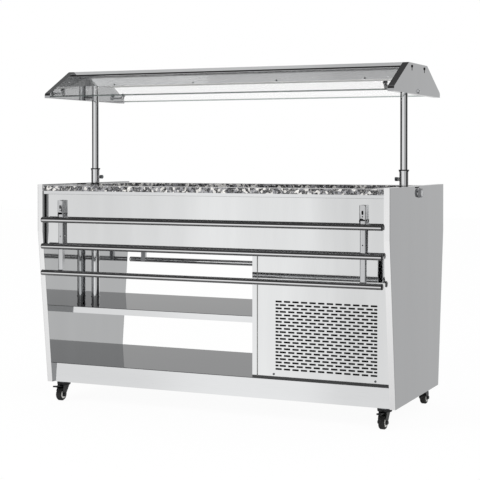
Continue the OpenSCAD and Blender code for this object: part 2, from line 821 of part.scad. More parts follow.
// Screw with a fluted head; its tip bears on the post.
module thumbscrew(side) {
  flutes = 10;
  head_x = sleeve_r + boss_l + 1;
  color(dark_steel) mirror_x(side) translate([post_x, 0, screw_z]) {
    rod_x(-head_x, -post_d / 2 - seat, screw_d);
    translate([-head_x - 10, 0, 0]) rotate([0, 90, 0]) difference() {
      cylinder(h = 10, d = screw_head_d);
      for (i = [0 : flutes - 1]) rotate(i * 360 / flutes)
        translate([screw_head_d / 2 + 0.6, 0, -eps]) cylinder(h = 11, r = 1.3, $fn = 14);
    }
  }
}

module post(side) {
  color(polished) mirror_x(side) translate([post_x, 0, post_low_z]) difference() {
    cylinder(h = lamp_z - post_low_z, d = post_d);
    translate([0, 0, -eps]) cylinder(h = lamp_z - post_low_z - 6, d = post_d - 4);
  }
}

// ---- canopy ----

function plate_outline() =
  let (
    y0 = canopy_d / 2,
    y1 = roof_d / 2,
    z0 = canopy_low,
    z1 = canopy_low + flank_h,
    z2 = canopy_top
  )
  concat(
    [[-y0, z0], [y0, z0]],
    corner([y0, z1], [y0, z0], [y1, z2], 12),
    [[y1, z2], [-y1, z2]],
    corner([-y0, z1], [-y1, z2], [-y0, z0], 12)
  );

// Sheet plate with a flange turned in all round and slots where the rails hang.
module canopy_end(side) {
  color(steel) mirror_x(side) difference() {
    union() {
      slab_x(plate_in, sheet) polygon(plate_outline());
      slab_x(roof_x, flange_w) difference() {
        polygon(plate_outline());
        polygon(inset(plate_outline(), sheet));
      }
    }
    for (y = [-rail_y, rail_y]) translate([0, y, rail_z]) {
      rod_x(plate_in - 1, canopy_l / 2 + 1, 6.4);
      slab_x(plate_in - 1, sheet + 2) translate([0, -6]) square([6.4, 12], center = true);
      translate([0, 0, -12]) rod_x(plate_in - 1, canopy_l / 2 + 1, 6.4);
    }
    translate([0, 0, nut_z]) rod_x(plate_in - 1, canopy_l / 2 + 1, 10.4);
  }
}

// Flat roof sheet with upright lips, butted between the end plates' flanges.
module canopy_roof() {
  color(steel) {
    box([-roof_x, roof_x], [-roof_d / 2, roof_d / 2], [canopy_top - sheet, canopy_top]);
    for (side = [-1, 1]) mirror_y(side)
      box([-roof_x, roof_x], [-roof_d / 2, -roof_d / 2 + sheet], [canopy_top - roof_lip, canopy_top]);
  }
}

module canopy_rails() {
  color(polished) for (y = [-rail_y, rail_y]) translate([0, y, rail_z]) difference() {
    rod_x(-plate_in, plate_in, rail_d);
    rod_x(-plate_in + 20, plate_in - 20, rail_d - 3);
    for (side = [-1, 1]) mirror_x(side) rod_x(plate_in - 16, plate_in + 1, 5.04);
  }
}

cover_w = 90;

// Channel under the roof, open at the top, with a window for the lamp in its floor.
module lamp_housing() {
  color(polished) difference() {
    box([-plate_in, plate_in], [-lamp_y, lamp_y], [lamp_z, canopy_top - sheet]);
    box([-plate_in - 1, plate_in + 1], [-lamp_y + sheet, lamp_y - sheet], [lamp_z + sheet, canopy_top]);
    box([-lamp_l / 2 + 20, lamp_l / 2 - 20], [-cover_w / 2, cover_w / 2], [lamp_z - 1, lamp_z + 2 * sheet]);
  }
}

module lamp_cover() {
  color(opal) box([-lamp_l / 2 + 8, lamp_l / 2 - 8], [-cover_w / 2 - 8, cover_w / 2 + 8],
                  [lamp_z + sheet, lamp_z + sheet + 3]);
}

// Lamp between two holders that stand on the cover's ends.
module lamp_tube() {
  z = lamp_z + sheet + 1.5 * lamp_d;
  end = lamp_l / 2 - 20;
  color(opal) {
    translate([0, 0, z]) rod_x(-end + 12, end - 12, lamp_d);
    for (side = [-1, 1]) mirror_x(side)
      box([end - 12, end], [2 - lamp_d, lamp_d - 2], [lamp_z + sheet + 3, z + lamp_d]);
  }
}

// Everything that lies on the slope is drawn in a frame at the roof's edge:
// x along the canopy, y up the slope's outward normal, z down the slope.
module on_slope(side) {
  mirror_y(side) translate([0, -roof_d / 2, canopy_top]) rotate([-(90 - slope_a), 0, 0]) mirror([0, 0, 1])
    mirror([0, 1, 0]) children();
}

module glass_pane(side) {
  color(clear_glass) on_slope(side) difference() {
    box([-plate_in + 2, plate_in - 2], [-glass_drop - glass_t, -glass_drop],
        [-glass_start, glass_end]);
    for (x = [-clamp_x, clamp_x]) translate([x, -glass_drop + 1, clamp_s])
      rotate([90, 0, 0]) cylinder(h = glass_t + 2, d = 9);
  }
}

// A disc outside and a disc inside pinch the glass; a rod from the inner disc ends at the end plate.
module glass_clamps() {
  color(black) for (side = [-1, 1], end = [-1, 1]) on_slope(side) mirror_x(end) {
    translate([clamp_x, -glass_drop + 5, clamp_s]) rotate([90, 0, 0]) cylinder(h = 5, d = clamp_d);
    translate([clamp_x, -glass_drop + 1, clamp_s]) rotate([90, 0, 0]) cylinder(h = glass_t + 2, d = 8);
    translate([clamp_x, -glass_drop - glass_t, clamp_s]) rotate([90, 0, 0]) cylinder(h = 12, d = clamp_d - 4);
    translate([0, -glass_drop - glass_t - 6, clamp_s]) rod_x(clamp_x, plate_in, 8);
  }
}

module cap_nut() {
  rotate([0, 90, 0]) {
    cylinder(h = 5, d = 17, $fn = 6);
    rotate_extrude() polygon(concat(
      [[0, 0]],
      [for (i = [0 : 3]) [6.6 * cos(i * 30), 3 + 5.5 * sin(i * 30)]]
    ));
  }
}

// Cap nuts and spacers at the posts, and screws in the rails' ends.
module canopy_fixings() {
  color(dark_steel) {
    for (side = [-1, 1]) mirror_x(side) {
      translate([canopy_l / 2, 0, nut_z]) cap_nut();
      translate([0, 0, nut_z]) {
        rod_x(post_x + post_d / 2 + seat, plate_in, 14);
        rod_x(plate_in - 1, canopy_l / 2 + 1, 10);
      }
      for (y = [-rail_y, rail_y]) translate([0, y, rail_z]) {
        rod_x(plate_in - 14, canopy_l / 2 + 0.5, 5);
        translate([canopy_l / 2, 0, 0]) rotate([0, 90, 0]) pan_head(10, 3);
      }
    }
  }
}

// ---- castors ----

module at_castor(x, y) {
  translate([x * castor_x, y * castor_y, 0]) mirror_y(y < 0 ? -1 : 1) children();
}

module castor_plates() {
  color(dark_steel) for (x = [-1, 1], y = [-1, 1]) at_castor(x, y) {
    translate([0, 0, crown_z]) cylinder(h = 3, d = crown_d);
    translate([0, 0, crown_z - 13]) cylinder(h = 13.5, d = 10);
    translate([0, 0, crown_z - 16]) cylinder(h = 3.6, d = 15, $fn = 6);
  }
}

function fork_leg() = [
  [-trail - 8, wheel_r - 4],
  [-trail + 8, wheel_r - 4],
  [crown_d / 2 - 6, crown_z - 12],
  [crown_d / 2 - 6, crown_z - 5],
  [-crown_d / 2 + 3, crown_z - 5],
  [-trail - 12, wheel_r + 14]
];

// Swivelling yoke: a crown with a bore for the king pin, two legs and the axle bolt.
module castor_fork(x, y) {
  color(black) at_castor(x, y) {
    difference() {
      union() {
        translate([0, 0, crown_z - 12]) cylinder(h = 12 - seat, d = crown_d - 4);
        for (side = [-1, 1]) mirror_x(side) slab_x(fork_x, 3) {
          polygon(fork_leg());
          translate([-trail, wheel_r]) circle(9);
        }
      }
      translate([0, 0, crown_z - 14]) cylinder(h = 16, d = 10 + 2 * running);
      translate([0, -trail, wheel_r]) rotate([0, 90, 0]) translate([0, 0, -fork_x])
        cylinder(h = 2 * fork_x, r = wheel_r + 1.5);
      translate([0, -trail, wheel_r]) rod_x(-fork_x - 4, fork_x + 4, axle_d);
    }
    if (y < 0) translate([0, pedal_y, pedal_z]) rod_x(-fork_x - 1, fork_x + 1, pedal_pin);
    translate([0, -trail, wheel_r]) {
      rod_x(-fork_x - 3, fork_x + 3, axle_d);
      for (side = [-1, 1]) mirror_x(side)
        translate([fork_x + 2.5, 0, 0]) rotate([0, 90, 0]) cylinder(h = 4.5, d = 13, $fn = 6);
    }
  }
}

// Tyre with eased shoulders on a hub that stands a little proud at both sides.
module castor_wheel(x, y) {
  r = wheel_r;
  w = wheel_w / 2;
  color(rubber) at_castor(x, y) translate([0, -trail, r]) rotate([0, 90, 0]) rotate_extrude($fn = 32)
    polygon([
      [axle_d / 2 + running, -w - 1], [9, -w - 1], [10, 1.5 - w], [r - 8, 1.5 - w], [r - 3, -w], [r, 4 - w],
      [r, w - 4], [r - 3, w], [r - 8, w - 1.5], [10, w - 1.5], [9, w + 1], [axle_d / 2 + running, w + 1]
    ]);
}

// Foot pedal pivoted between the fork's legs, with a forked toe that rises a little.
module brake_pedal(x) {
  reach = trail + 36;
  color(black) at_castor(x, -1) translate([0, pedal_y, pedal_z]) rotate([-8, 0, 0]) difference() {
    union() {
      box([-9, 9], [-reach, 0], [-0.7, 1.8]);
      box([-9, 9], [-reach, 4 - reach], [-4, 1]);
      rod_x(-fork_x + seat, fork_x - seat, 5.6);
    }
    translate([0, -reach - 1, -6]) cylinder(h = 12, r = 5);
    rod_x(-fork_x, fork_x, pedal_pin + 2 * running);
  }
}

end_panel(-1);  // end_panel_left
end_panel_right();
end_liner(-1);  // end_liner_left
end_liner(1);  // end_liner_right
stone_top();
top_rim();
fascia(-1);  // fascia_front
fascia(1);  // fascia_rear
well_tub();
well_casing();
drain_pipe();
mid_shelf();
base_deck();
base_rails();
partition_wall();
grille_panel(grille_y, -1);  // grille_front
grille_panel(grille_rear_y, 1);  // grille_rear
panel_screws();
sleeve_left();
sleeve_right();
compressor();
condenser();
fan_shroud();
fan_rotor();
thermostat_bezel();
thermostat_knob();
cable_gland();
castor_plates();
slide_brackets();
thumbscrew(-1);  // thumbscrew_left
thumbscrew(1);  // thumbscrew_right
post(-1);  // post_left
post(1);  // post_right
canopy_end(-1);  // canopy_end_left
canopy_end(1);  // canopy_end_right
canopy_roof();
canopy_rails();
lamp_housing();
lamp_cover();
lamp_tube();
glass_pane(-1);  // glass_front
glass_pane(1);  // glass_rear
glass_clamps();
canopy_fixings();
slide_arms(-1);  // arms_front
slide_tubes(-1);  // tubes_front
tube_plugs(-1);  // plugs_front
slide_arms(1);  // arms_rear
slide_tubes(1);  // tubes_rear
tube_plugs(1);  // plugs_rear
castor_fork(-1, -1);  // castor_fork_fl
castor_fork(1, -1);  // castor_fork_fr
castor_fork(-1, 1);  // castor_fork_rl
castor_fork(1, 1);  // castor_fork_rr
castor_wheel(-1, -1);  // castor_wheel_fl
castor_wheel(1, -1);  // castor_wheel_fr
castor_wheel(-1, 1);  // castor_wheel_rl
castor_wheel(1, 1);  // castor_wheel_rr
brake_pedal(-1);  // brake_pedal_left
brake_pedal(1);  // brake_pedal_right
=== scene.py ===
import bpy
import bmesh
import math
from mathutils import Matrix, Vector


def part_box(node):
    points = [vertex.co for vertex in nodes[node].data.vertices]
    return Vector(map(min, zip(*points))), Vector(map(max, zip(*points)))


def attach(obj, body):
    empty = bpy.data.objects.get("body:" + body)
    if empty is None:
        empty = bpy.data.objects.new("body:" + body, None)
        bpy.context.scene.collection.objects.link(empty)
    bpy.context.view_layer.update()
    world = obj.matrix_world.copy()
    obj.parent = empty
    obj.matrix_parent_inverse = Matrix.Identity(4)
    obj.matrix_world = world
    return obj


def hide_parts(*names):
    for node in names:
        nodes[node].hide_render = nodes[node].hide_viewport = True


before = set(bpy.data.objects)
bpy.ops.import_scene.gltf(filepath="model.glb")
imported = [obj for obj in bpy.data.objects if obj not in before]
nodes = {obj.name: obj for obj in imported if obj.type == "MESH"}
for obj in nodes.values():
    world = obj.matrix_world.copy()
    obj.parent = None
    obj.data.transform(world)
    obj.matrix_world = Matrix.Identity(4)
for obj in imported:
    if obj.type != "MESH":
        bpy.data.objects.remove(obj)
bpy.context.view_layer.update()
bpy.ops.object.select_all(action="DESELECT")
bpy.context.scene.view_settings.view_transform = "Standard"
print("frame loaded:", len(nodes), "nodes")


def toLinear(hexColour):  # sRGB hex to the linear values that the shaders take
    parts = [int(hexColour[i:i + 2], 16) / 255 for i in (1, 3, 5)]
    return [c / 12.92 if c <= 0.04045 else ((c + 0.055) / 1.055) ** 2.4 for c in parts] + [1.0]


def addNode(tree, kind, inputs=None, **settings):  # inputs hold constants, or sockets to link from
    made = tree.nodes.new(kind)
    for key, value in settings.items():
        setattr(made, key, value)
    for key, value in (inputs or {}).items():
        if isinstance(value, bpy.types.NodeSocket):
            tree.links.new(value, made.inputs[key])
        else:
            made.inputs[key].default_value = value
    return made


def startMaterial(name):
    material = bpy.data.materials.new(name)
    material.use_nodes = True
    material.node_tree.nodes.clear()
    return material, material.node_tree


def endMaterial(tree, shader):
    addNode(tree, "ShaderNodeOutputMaterial", {"Surface": shader.outputs[0]})


# Stainless steel sheet, ground with a belt: long fine scratches along one axis over a soft mirror,
# and broad bands along the grain, a little duller where the belt was worn. Real scratches are finer
# than a pixel, so they are drawn 0.8 mm wide.
def groundSteel(name, colour, dark, roughness, grain, grainMm=0.8, bandMm=90, bandShade=0.07, scratch=0.12, edge="#ffffff"):
    material, tree = startMaterial(name)
    place = addNode(tree, "ShaderNodeTexCoord").outputs["Object"]
    along = "xyz".index(grain)

    def stretch(perMetre, times):
        return [perMetre / times if i == along else perMetre for i in range(3)]

    fineMap = addNode(tree, "ShaderNodeMapping", {"Vector": place, "Scale": stretch(1000 / grainMm, 60)})
    scratches = addNode(tree, "ShaderNodeTexNoise", {
        "Vector": fineMap.outputs[0], "Scale": 1.0, "Detail": 3.0, "Roughness": 0.6})
    bandMap = addNode(tree, "ShaderNodeMapping", {"Vector": place, "Scale": stretch(1000 / bandMm, 12)})
    bands = addNode(tree, "ShaderNodeTexNoise", {"Vector": bandMap.outputs[0], "Scale": 1.0, "Detail": 2.0})
    smears = addNode(tree, "ShaderNodeTexNoise", {"Vector": place, "Scale": 1000 / 160, "Detail": 4.0})
    tone = addNode(tree, "ShaderNodeMix", {
        0: scratches.outputs[0], 6: toLinear(dark), 7: toLinear(colour)}, data_type="RGBA")
    shade = addNode(tree, "ShaderNodeMapRange", {0: bands.outputs[0], 1: 0.35, 2: 0.65, 3: 1 - bandShade, 4: 1.0})
    banded = addNode(tree, "ShaderNodeVectorMath", {0: tone.outputs[2], "Scale": shade.outputs[0]}, operation="SCALE")
    rough = addNode(tree, "ShaderNodeMapRange", {
        0: smears.outputs[0], 1: 0.3, 2: 0.7, 3: roughness * 0.8, 4: roughness * 1.25})
    relief = addNode(tree, "ShaderNodeBump", {"Height": scratches.outputs[0], "Strength": scratch, "Distance": 0.00002})
    endMaterial(tree, addNode(tree, "ShaderNodeBsdfPrincipled", {
        "Base Color": banded.outputs[0], "Metallic": 1.0, "Roughness": rough.outputs[0], "Specular Tint": toLinear(edge),
        "Normal": relief.outputs[0]}))
    return material


# Polished stainless tube and sheet: a clear mirror with faint polishing lines.
def polishedSteel(name, colour, roughness, grain, grainMm=1.5):
    return groundSteel(name, colour, colour, roughness, grain, grainMm, 120, 0.03, 0.0)


# Zinc plating over steel: blue-grey crystals a few millimetres wide, dull.
def zincPlate(name):
    material, tree = startMaterial(name)
    place = addNode(tree, "ShaderNodeTexCoord").outputs["Object"]
    crystals = addNode(tree, "ShaderNodeTexVoronoi", {"Vector": place, "Scale": 1000 / 2.5})
    tone = addNode(tree, "ShaderNodeMix", {
        0: crystals.outputs["Distance"], 6: toLinear("#9a9da0"), 7: toLinear("#7c7f83")}, data_type="RGBA")
    rough = addNode(tree, "ShaderNodeMapRange", {0: crystals.outputs["Distance"], 1: 0.0, 2: 0.8, 3: 0.25, 4: 0.42})
    endMaterial(tree, addNode(tree, "ShaderNodeBsdfPrincipled", {
        "Base Color": tone.outputs[2], "Metallic": 1.0, "Roughness": rough.outputs[0]}))
    return material


# Granite, sawn and polished: black, grey and white grains of 4 to 10 mm under a hard gloss.
def polishedGranite(name):
    grains = {"coarseMm": 10.0, "fineMm": 4.0, "white": "#eceae6", "grey": "#8e8e92", "dark": "#3a3b3f", "black": "#101013"}
    material, tree = startMaterial(name)
    place = addNode(tree, "ShaderNodeTexCoord").outputs["Object"]
    bend = addNode(tree, "ShaderNodeTexNoise", {"Vector": place, "Scale": 1000 / 9, "Detail": 2.0})
    shifted = addNode(tree, "ShaderNodeVectorMath", {0: bend.outputs["Color"], "Scale": 0.004}, operation="SCALE")
    warped = addNode(tree, "ShaderNodeVectorMath", {0: place, 1: shifted.outputs[0]}, operation="ADD")
    coarse = addNode(tree, "ShaderNodeTexVoronoi", {"Vector": warped.outputs[0], "Scale": 1000 / grains["coarseMm"]})
    fine = addNode(tree, "ShaderNodeTexVoronoi", {"Vector": warped.outputs[0], "Scale": 1000 / grains["fineMm"]})
    coarseValue = addNode(tree, "ShaderNodeSeparateColor", {"Color": coarse.outputs["Color"]})
    fineValue = addNode(tree, "ShaderNodeSeparateColor", {"Color": fine.outputs["Color"]})
    ramp = addNode(tree, "ShaderNodeValToRGB", {"Fac": coarseValue.outputs[0]})
    ramp.color_ramp.interpolation = "CONSTANT"
    ramp.color_ramp.elements[0].color = toLinear(grains["black"])
    ramp.color_ramp.elements[1].position = 0.34
    ramp.color_ramp.elements[1].color = toLinear(grains["dark"])
    for position, colour in ((0.55, grains["grey"]), (0.8, grains["white"])):
        ramp.color_ramp.elements.new(position).color = toLinear(colour)
    specks = addNode(tree, "ShaderNodeValToRGB", {"Fac": fineValue.outputs[1]})
    specks.color_ramp.interpolation = "CONSTANT"
    specks.color_ramp.elements[0].color = toLinear(grains["black"])
    specks.color_ramp.elements[1].position = 0.45
    specks.color_ramp.elements[1].color = toLinear(grains["grey"])
    specks.color_ramp.elements.new(0.78).color = toLinear(grains["white"])
    tone = addNode(tree, "ShaderNodeMix", {0: 0.3, 6: ramp.outputs[0], 7: specks.outputs[0]}, data_type="RGBA")
    relief = addNode(tree, "ShaderNodeBump", {"Height": fine.outputs["Distance"], "Strength": 0.06, "Distance": 0.0002})
    endMaterial(tree, addNode(tree, "ShaderNodeBsdfPrincipled", {
        "Base Color": tone.outputs[2], "Roughness": 0.16, "IOR": 1.55, "Normal": relief.outputs[0]}))
    return material


# Toughened float glass: clear and almost without colour through its faces, dark green-grey at its
# ground edges, where light has come a long way through the pane. A thin pane hardly bends what is
# seen through it, so most light goes straight through.
def floatGlass(name):
    material, tree = startMaterial(name)
    coordinates = addNode(tree, "ShaderNodeTexCoord")
    upright = addNode(tree, "ShaderNodeSeparateXYZ", {0: coordinates.outputs["Normal"]})
    slant = addNode(tree, "ShaderNodeMath", {0: upright.outputs[2]}, operation="ABSOLUTE")
    face = addNode(tree, "ShaderNodeMath", {0: slant.outputs[0], 1: 0.7}, operation="GREATER_THAN")
    tone = addNode(tree, "ShaderNodeMix", {0: face.outputs[0], 6: toLinear("#5d6a66"), 7: toLinear("#fbfdfc")}, data_type="RGBA")
    cover = addNode(tree, "ShaderNodeMix", {0: face.outputs[0], 2: 0.9, 3: 0.07})
    rollers = addNode(tree, "ShaderNodeTexNoise", {
        "Vector": coordinates.outputs["Object"], "Scale": 1000 / 300, "Detail": 1.0})
    ripple = addNode(tree, "ShaderNodeBump", {"Height": rollers.outputs[0], "Strength": 0.15, "Distance": 0.0005})
    endMaterial(tree, addNode(tree, "ShaderNodeBsdfPrincipled", {
        "Base Color": tone.outputs[2], "Roughness": 0.0, "IOR": 1.5, "Transmission Weight": 1.0,
        "Alpha": cover.outputs[0], "Normal": ripple.outputs[0]}))
    return material


# A plain solid with fine moulding or casting grain; most of the dark small parts.
def grained(name, colour, worn, roughness, grainMm, depthMm, metallic=0.0, ior=1.5, coat=0.0):
    material, tree = startMaterial(name)
    place = addNode(tree, "ShaderNodeTexCoord").outputs["Object"]
    grain = addNode(tree, "ShaderNodeTexNoise", {"Vector": place, "Scale": 1000 / grainMm, "Detail": 3.0})
    patches = addNode(tree, "ShaderNodeTexNoise", {"Vector": place, "Scale": 1000 / 35, "Detail": 4.0})
    wear = addNode(tree, "ShaderNodeMapRange", {0: patches.outputs[0], 1: 0.35, 2: 0.75, 3: 0.0, 4: 1.0})
    tone = addNode(tree, "ShaderNodeMix", {0: wear.outputs[0], 6: toLinear(colour), 7: toLinear(worn)}, data_type="RGBA")
    rough = addNode(tree, "ShaderNodeMapRange", {
        0: grain.outputs[0], 1: 0.3, 2: 0.7, 3: roughness * 0.85, 4: min(1.0, roughness * 1.15)})
    relief = addNode(tree, "ShaderNodeBump", {"Height": grain.outputs[0], "Strength": 0.5, "Distance": depthMm / 1000})
    endMaterial(tree, addNode(tree, "ShaderNodeBsdfPrincipled", {
        "Base Color": tone.outputs[2], "Metallic": metallic, "Roughness": rough.outputs[0], "IOR": ior,
        "Coat Weight": coat, "Normal": relief.outputs[0]}))
    return material


finishes = {
    # Body panels: the grain draws soft streaks, and the mirror under it stays nearly sharp.
    "sheetUpright": groundSteel("ground stainless sheet, grain upright", "#eceded", "#e2e3e4", 0.05, "z",
                                scratch=0.05, bandShade=0.06),
    "sheetLengthwise": groundSteel("ground stainless sheet, grain lengthwise", "#eaebec", "#dfe0e1", 0.06, "x",
                                   scratch=0.05, bandShade=0.03),
    # The end skins wear a darker grey copy of the sheet, painted shade for the ends, and their folded edges a whiter
    # copy, a painted highlight.
    "sheetEndShaded": groundSteel("ground stainless end skin, painted shade", "#b8b9ba", "#b2b3b5", 0.07, "z", scratch=0.05, bandShade=0.02),
    "edgeFoldHighlight": groundSteel("ground stainless fold, painted highlight", "#fbfbfb", "#f5f5f6", 0.12, "z", scratch=0.03, bandShade=0.01),
    # The shelves' tops wear a darker copy of the sheet, darker still at grazing angles: painted shade, so they mirror
    # the bay a good deal darker than it is.
    "sheetDeckShaded": groundSteel("ground stainless shelf, painted shade", "#c6c7c8", "#bfc0c2", 0.06, "x",
                             scratch=0.03, bandShade=0.02, edge="#c8c8c8"),
    "roofSheet": groundSteel("ground stainless roof sheet", "#d6d7d8", "#cfd0d1", 0.08, "x", scratch=0.04, bandShade=0.03),
    "liner": polishedSteel("bright annealed stainless liner", "#cbcccd", 0.035, "z"),
    # Tubes and posts: clear mirrors that draw the room as dark and light stripes along them.
    "tube": polishedSteel("polished stainless tube", "#ececed", 0.06, "x"),
    "post": polishedSteel("polished stainless post", "#e9eaeb", 0.06, "z"),
    "tub": groundSteel("deep-drawn stainless tub", "#e2e3e4", "#d6d8d9", 0.24, "x"),  # a soft sheen, no clear mirror
    "zinc": zincPlate("zinc-plated steel"),
    "granite": polishedGranite("polished speckled granite"),
    "glass": floatGlass("toughened float glass"),
    # The cover spreads the lamp's light: milky, with a half-matt skin.
    "cover": grained("opal acrylic", "#f1f1ee", "#e9e9e5", 0.45, 0.6, 0.02, ior=1.49),
    "lamp": grained("white-coated lamp glass", "#f6f6f2", "#efefe9", 0.2, 1.5, 0.005, ior=1.5),
    "fins": groundSteel("rolled aluminium fin", "#c9cccf", "#b6babd", 0.35, "z"),
    # Black parts: enamel shines under a clear coat, powder coat has a faint orange peel, rubber is dead matt.
    "enamel": grained("black stoving enamel", "#151516", "#232325", 0.35, 0.9, 0.03, coat=0.3),
    "blackCoat": grained("black powder coat", "#17181a", "#2a2b2d", 0.45, 0.5, 0.05),
    "blackNickel": grained("black nickel over cast zinc", "#58595b", "#67686b", 0.14, 0.6, 0.005, metallic=1.0),
    "rubber": grained("solid rubber tyre", "#1a1a1b", "#2d2c2b", 0.65, 0.4, 0.06, ior=1.52),
    "plastic": grained("moulded ABS", "#18191a", "#222324", 0.38, 0.35, 0.03, ior=1.53),
    "foam": grained("reticulated polyurethane foam", "#101011", "#1b1b1c", 0.9, 2.5, 0.8),
    "seal": grained("black EPDM seal", "#121213", "#1c1c1d", 0.6, 0.5, 0.02, ior=1.52),
    # The slides' arms are ground outside. Inside the fold, and on the grille's slot walls, a dull dark copy of the
    # sheet is painted shade.
    "arm": groundSteel("folded stainless sheet, ground", "#d4d5d6", "#c6c7c9", 0.12, "z", scratch=0.04, bandShade=0.03),
    "foldInsideShade": grained("stainless sheet, dull, painted shade", "#3b3c3e", "#4a4b4d", 0.5, 0.8, 0.01, metallic=0.6),
    "weld": groundSteel("stainless weld bead", "#b9babc", "#8f9093", 0.28, "z", grainMm=1.0),
    # Small light parts, satin to the eye.
    "pale": grained("natural nylon", "#e6e6e2", "#d6d6d1", 0.45, 0.4, 0.03, ior=1.53),
    "joint": grained("grey silicone joint", "#8d8e8c", "#7b7c7a", 0.55, 1.2, 0.03, ior=1.41),
    "turned": groundSteel("turned aluminium", "#dcdddf", "#cfd1d3", 0.22, "x", grainMm=0.4),
    "knobGrey": grained("grey ABS with a satin paint", "#8b8c8e", "#7c7d7f", 0.4, 0.35, 0.02, ior=1.53),
}
print("materials made:", len(finishes))

# What the CAD nodes wear. Nodes that a finer copy replaces are left out.
wears = {
    "sheetUpright": "fascia_front fascia_rear partition_wall well_casing",
    "sheetLengthwise": "base_rails top_rim",
    "roofSheet": "canopy_roof",
    # The canopy's end plates wear the end skins' darker copy too: painted shade.
    "sheetEndShaded": "canopy_end_left canopy_end_right",
    "liner": "end_liner_left end_liner_right lamp_housing",
    "tube": "tubes_front tubes_rear canopy_rails",
    "post": "post_left post_right sleeve_left sleeve_right drain_pipe canopy_fixings glass_clamps",
    "tub": "well_tub",
    "zinc": "panel_screws castor_plates thumbscrew_left thumbscrew_right",
    "granite": "stone_top",
    "glass": "glass_front glass_rear",
    "cover": "lamp_cover",
    "lamp": "lamp_tube",
    "fins": "condenser fan_rotor",
    "enamel": "compressor",
    "blackCoat": "fan_shroud castor_fork_fl castor_fork_fr castor_fork_rl castor_fork_rr brake_pedal_left brake_pedal_right",
    "rubber": "castor_wheel_fl castor_wheel_fr castor_wheel_rl castor_wheel_rr",
    "plastic": "cable_gland plugs_front plugs_rear",
    "knobGrey": "thermostat_bezel thermostat_knob",
}
for finish, names in wears.items():
    for name in names.split():
        for slot in nodes[name].material_slots:
            slot.material = finishes[finish]
print("CAD nodes dressed")


def pick(mode, rule):  # in edit mode, selects only the faces or edges that a rule on middle and normal or run fits
    bpy.ops.mesh.select_mode(type=mode)
    bpy.ops.mesh.select_all(action="DESELECT")
    mesh = bmesh.from_edit_mesh(bpy.context.object.data)
    if mode == "FACE":
        for face in mesh.faces:
            face.select_set(bool(rule(face.calc_center_median(), face.normal)))
    else:
        for edge in mesh.edges:
            ends = edge.verts[0].co, edge.verts[1].co
            edge.select_set(bool(rule((ends[0] + ends[1]) / 2, ends[1] - ends[0])))
    bmesh.update_edit_mesh(bpy.context.object.data)


def startBox(low, high):  # a cube at its size and place, in edit mode
    bpy.ops.object.select_all(action="DESELECT")
    bpy.ops.mesh.primitive_cube_add(size=1, location=[(a + b) / 2 for a, b in zip(low, high)])
    bpy.context.object.scale = [b - a for a, b in zip(low, high)]
    bpy.ops.object.transform_apply(location=True, rotation=True, scale=True)
    bpy.ops.object.mode_set(mode="EDIT")
    bpy.ops.mesh.select_all(action="DESELECT")


def startLathe(outline, centre=(0, 0, 0), axis="X", steps=40):  # (radius, along) pairs spun about an axis, in edit mode
    out, run = (Vector((0, 0, 1)), Vector((1, 0, 0))) if axis == "X" else (Vector((1, 0, 0)), Vector((0, 0, 1)))
    centre = Vector(centre)
    bpy.ops.object.select_all(action="DESELECT")
    bpy.ops.mesh.primitive_plane_add(size=0.001, location=(0, 0, 0))
    bpy.ops.object.mode_set(mode="EDIT")
    mesh = bmesh.from_edit_mesh(bpy.context.object.data)
    mesh.verts.ensure_lookup_table()
    bmesh.ops.delete(mesh, geom=mesh.verts[1:], context="VERTS")
    mesh.verts.ensure_lookup_table()
    mesh.verts[0].co = centre + out * outline[0][0] + run * outline[0][1]
    bpy.ops.mesh.select_mode(type="VERT")
    mesh.verts[0].select_set(True)
    bmesh.update_edit_mesh(bpy.context.object.data)
    for (radius, along), (nextRadius, nextAlong) in zip(outline, outline[1:]):
        step = out * (nextRadius - radius) + run * (nextAlong - along)
        bpy.ops.mesh.extrude_vertices_move(TRANSFORM_OT_translate={"value": tuple(step)})
    bpy.ops.mesh.select_all(action="SELECT")
    bpy.ops.mesh.spin(steps=steps, angle=2 * math.pi, center=tuple(centre), axis=tuple(run))
    bpy.ops.mesh.select_all(action="SELECT")
    bpy.ops.mesh.remove_doubles(threshold=0.000005)
    bpy.ops.mesh.normals_make_consistent(inside=False)


def roundEdges(width, segments=1):
    bpy.ops.object.modifier_add(type="BEVEL")
    bpy.context.object.modifiers[-1].width = width
    bpy.context.object.modifiers[-1].segments = segments


def endShape(name, finish, body, replaced=(), smooth=35):
    piece = bpy.context.object
    bpy.ops.object.mode_set(mode="OBJECT")
    for modifier in list(piece.modifiers):
        bpy.ops.object.modifier_apply(modifier=modifier.name)
    bpy.ops.object.transform_apply(location=True, rotation=True, scale=True)
    bpy.ops.object.shade_smooth_by_angle(angle=math.radians(smooth))
    piece.name = piece.data.name = name
    if not piece.data.materials:
        piece.data.materials.append(finishes[finish])
    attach(piece, body)
    if replaced:
        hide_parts(*replaced)
    return piece


def copyPiece(piece, name, body, move=(0, 0, 0), mirror=(1, 1, 1)):  # a copy with its own mesh
    bpy.ops.object.select_all(action="DESELECT")
    twin = piece.copy()
    twin.data = piece.data.copy()
    bpy.context.collection.objects.link(twin)
    twin.name = twin.data.name = name
    twin.scale, twin.location = mirror, move
    twin.select_set(True)
    bpy.context.view_layer.objects.active = twin
    bpy.ops.object.transform_apply(location=True, rotation=True, scale=True)
    bpy.ops.object.mode_set(mode="EDIT")
    bpy.ops.mesh.select_all(action="SELECT")
    bpy.ops.mesh.normals_make_consistent(inside=False)
    bpy.ops.object.mode_set(mode="OBJECT")
    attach(twin, body)
    return twin


def turnToFront():  # a head that was lathed along X comes to lie along Y
    bpy.ops.transform.rotate(value=math.radians(90), orient_axis="Z", center_override=(0, 0, 0))


def frontSign(piece):  # 1 where that head points to -Y, and -1 where it points to +Y
    return 1 if min(vertex.co.y for vertex in piece.data.vertices) < -0.001 else -1


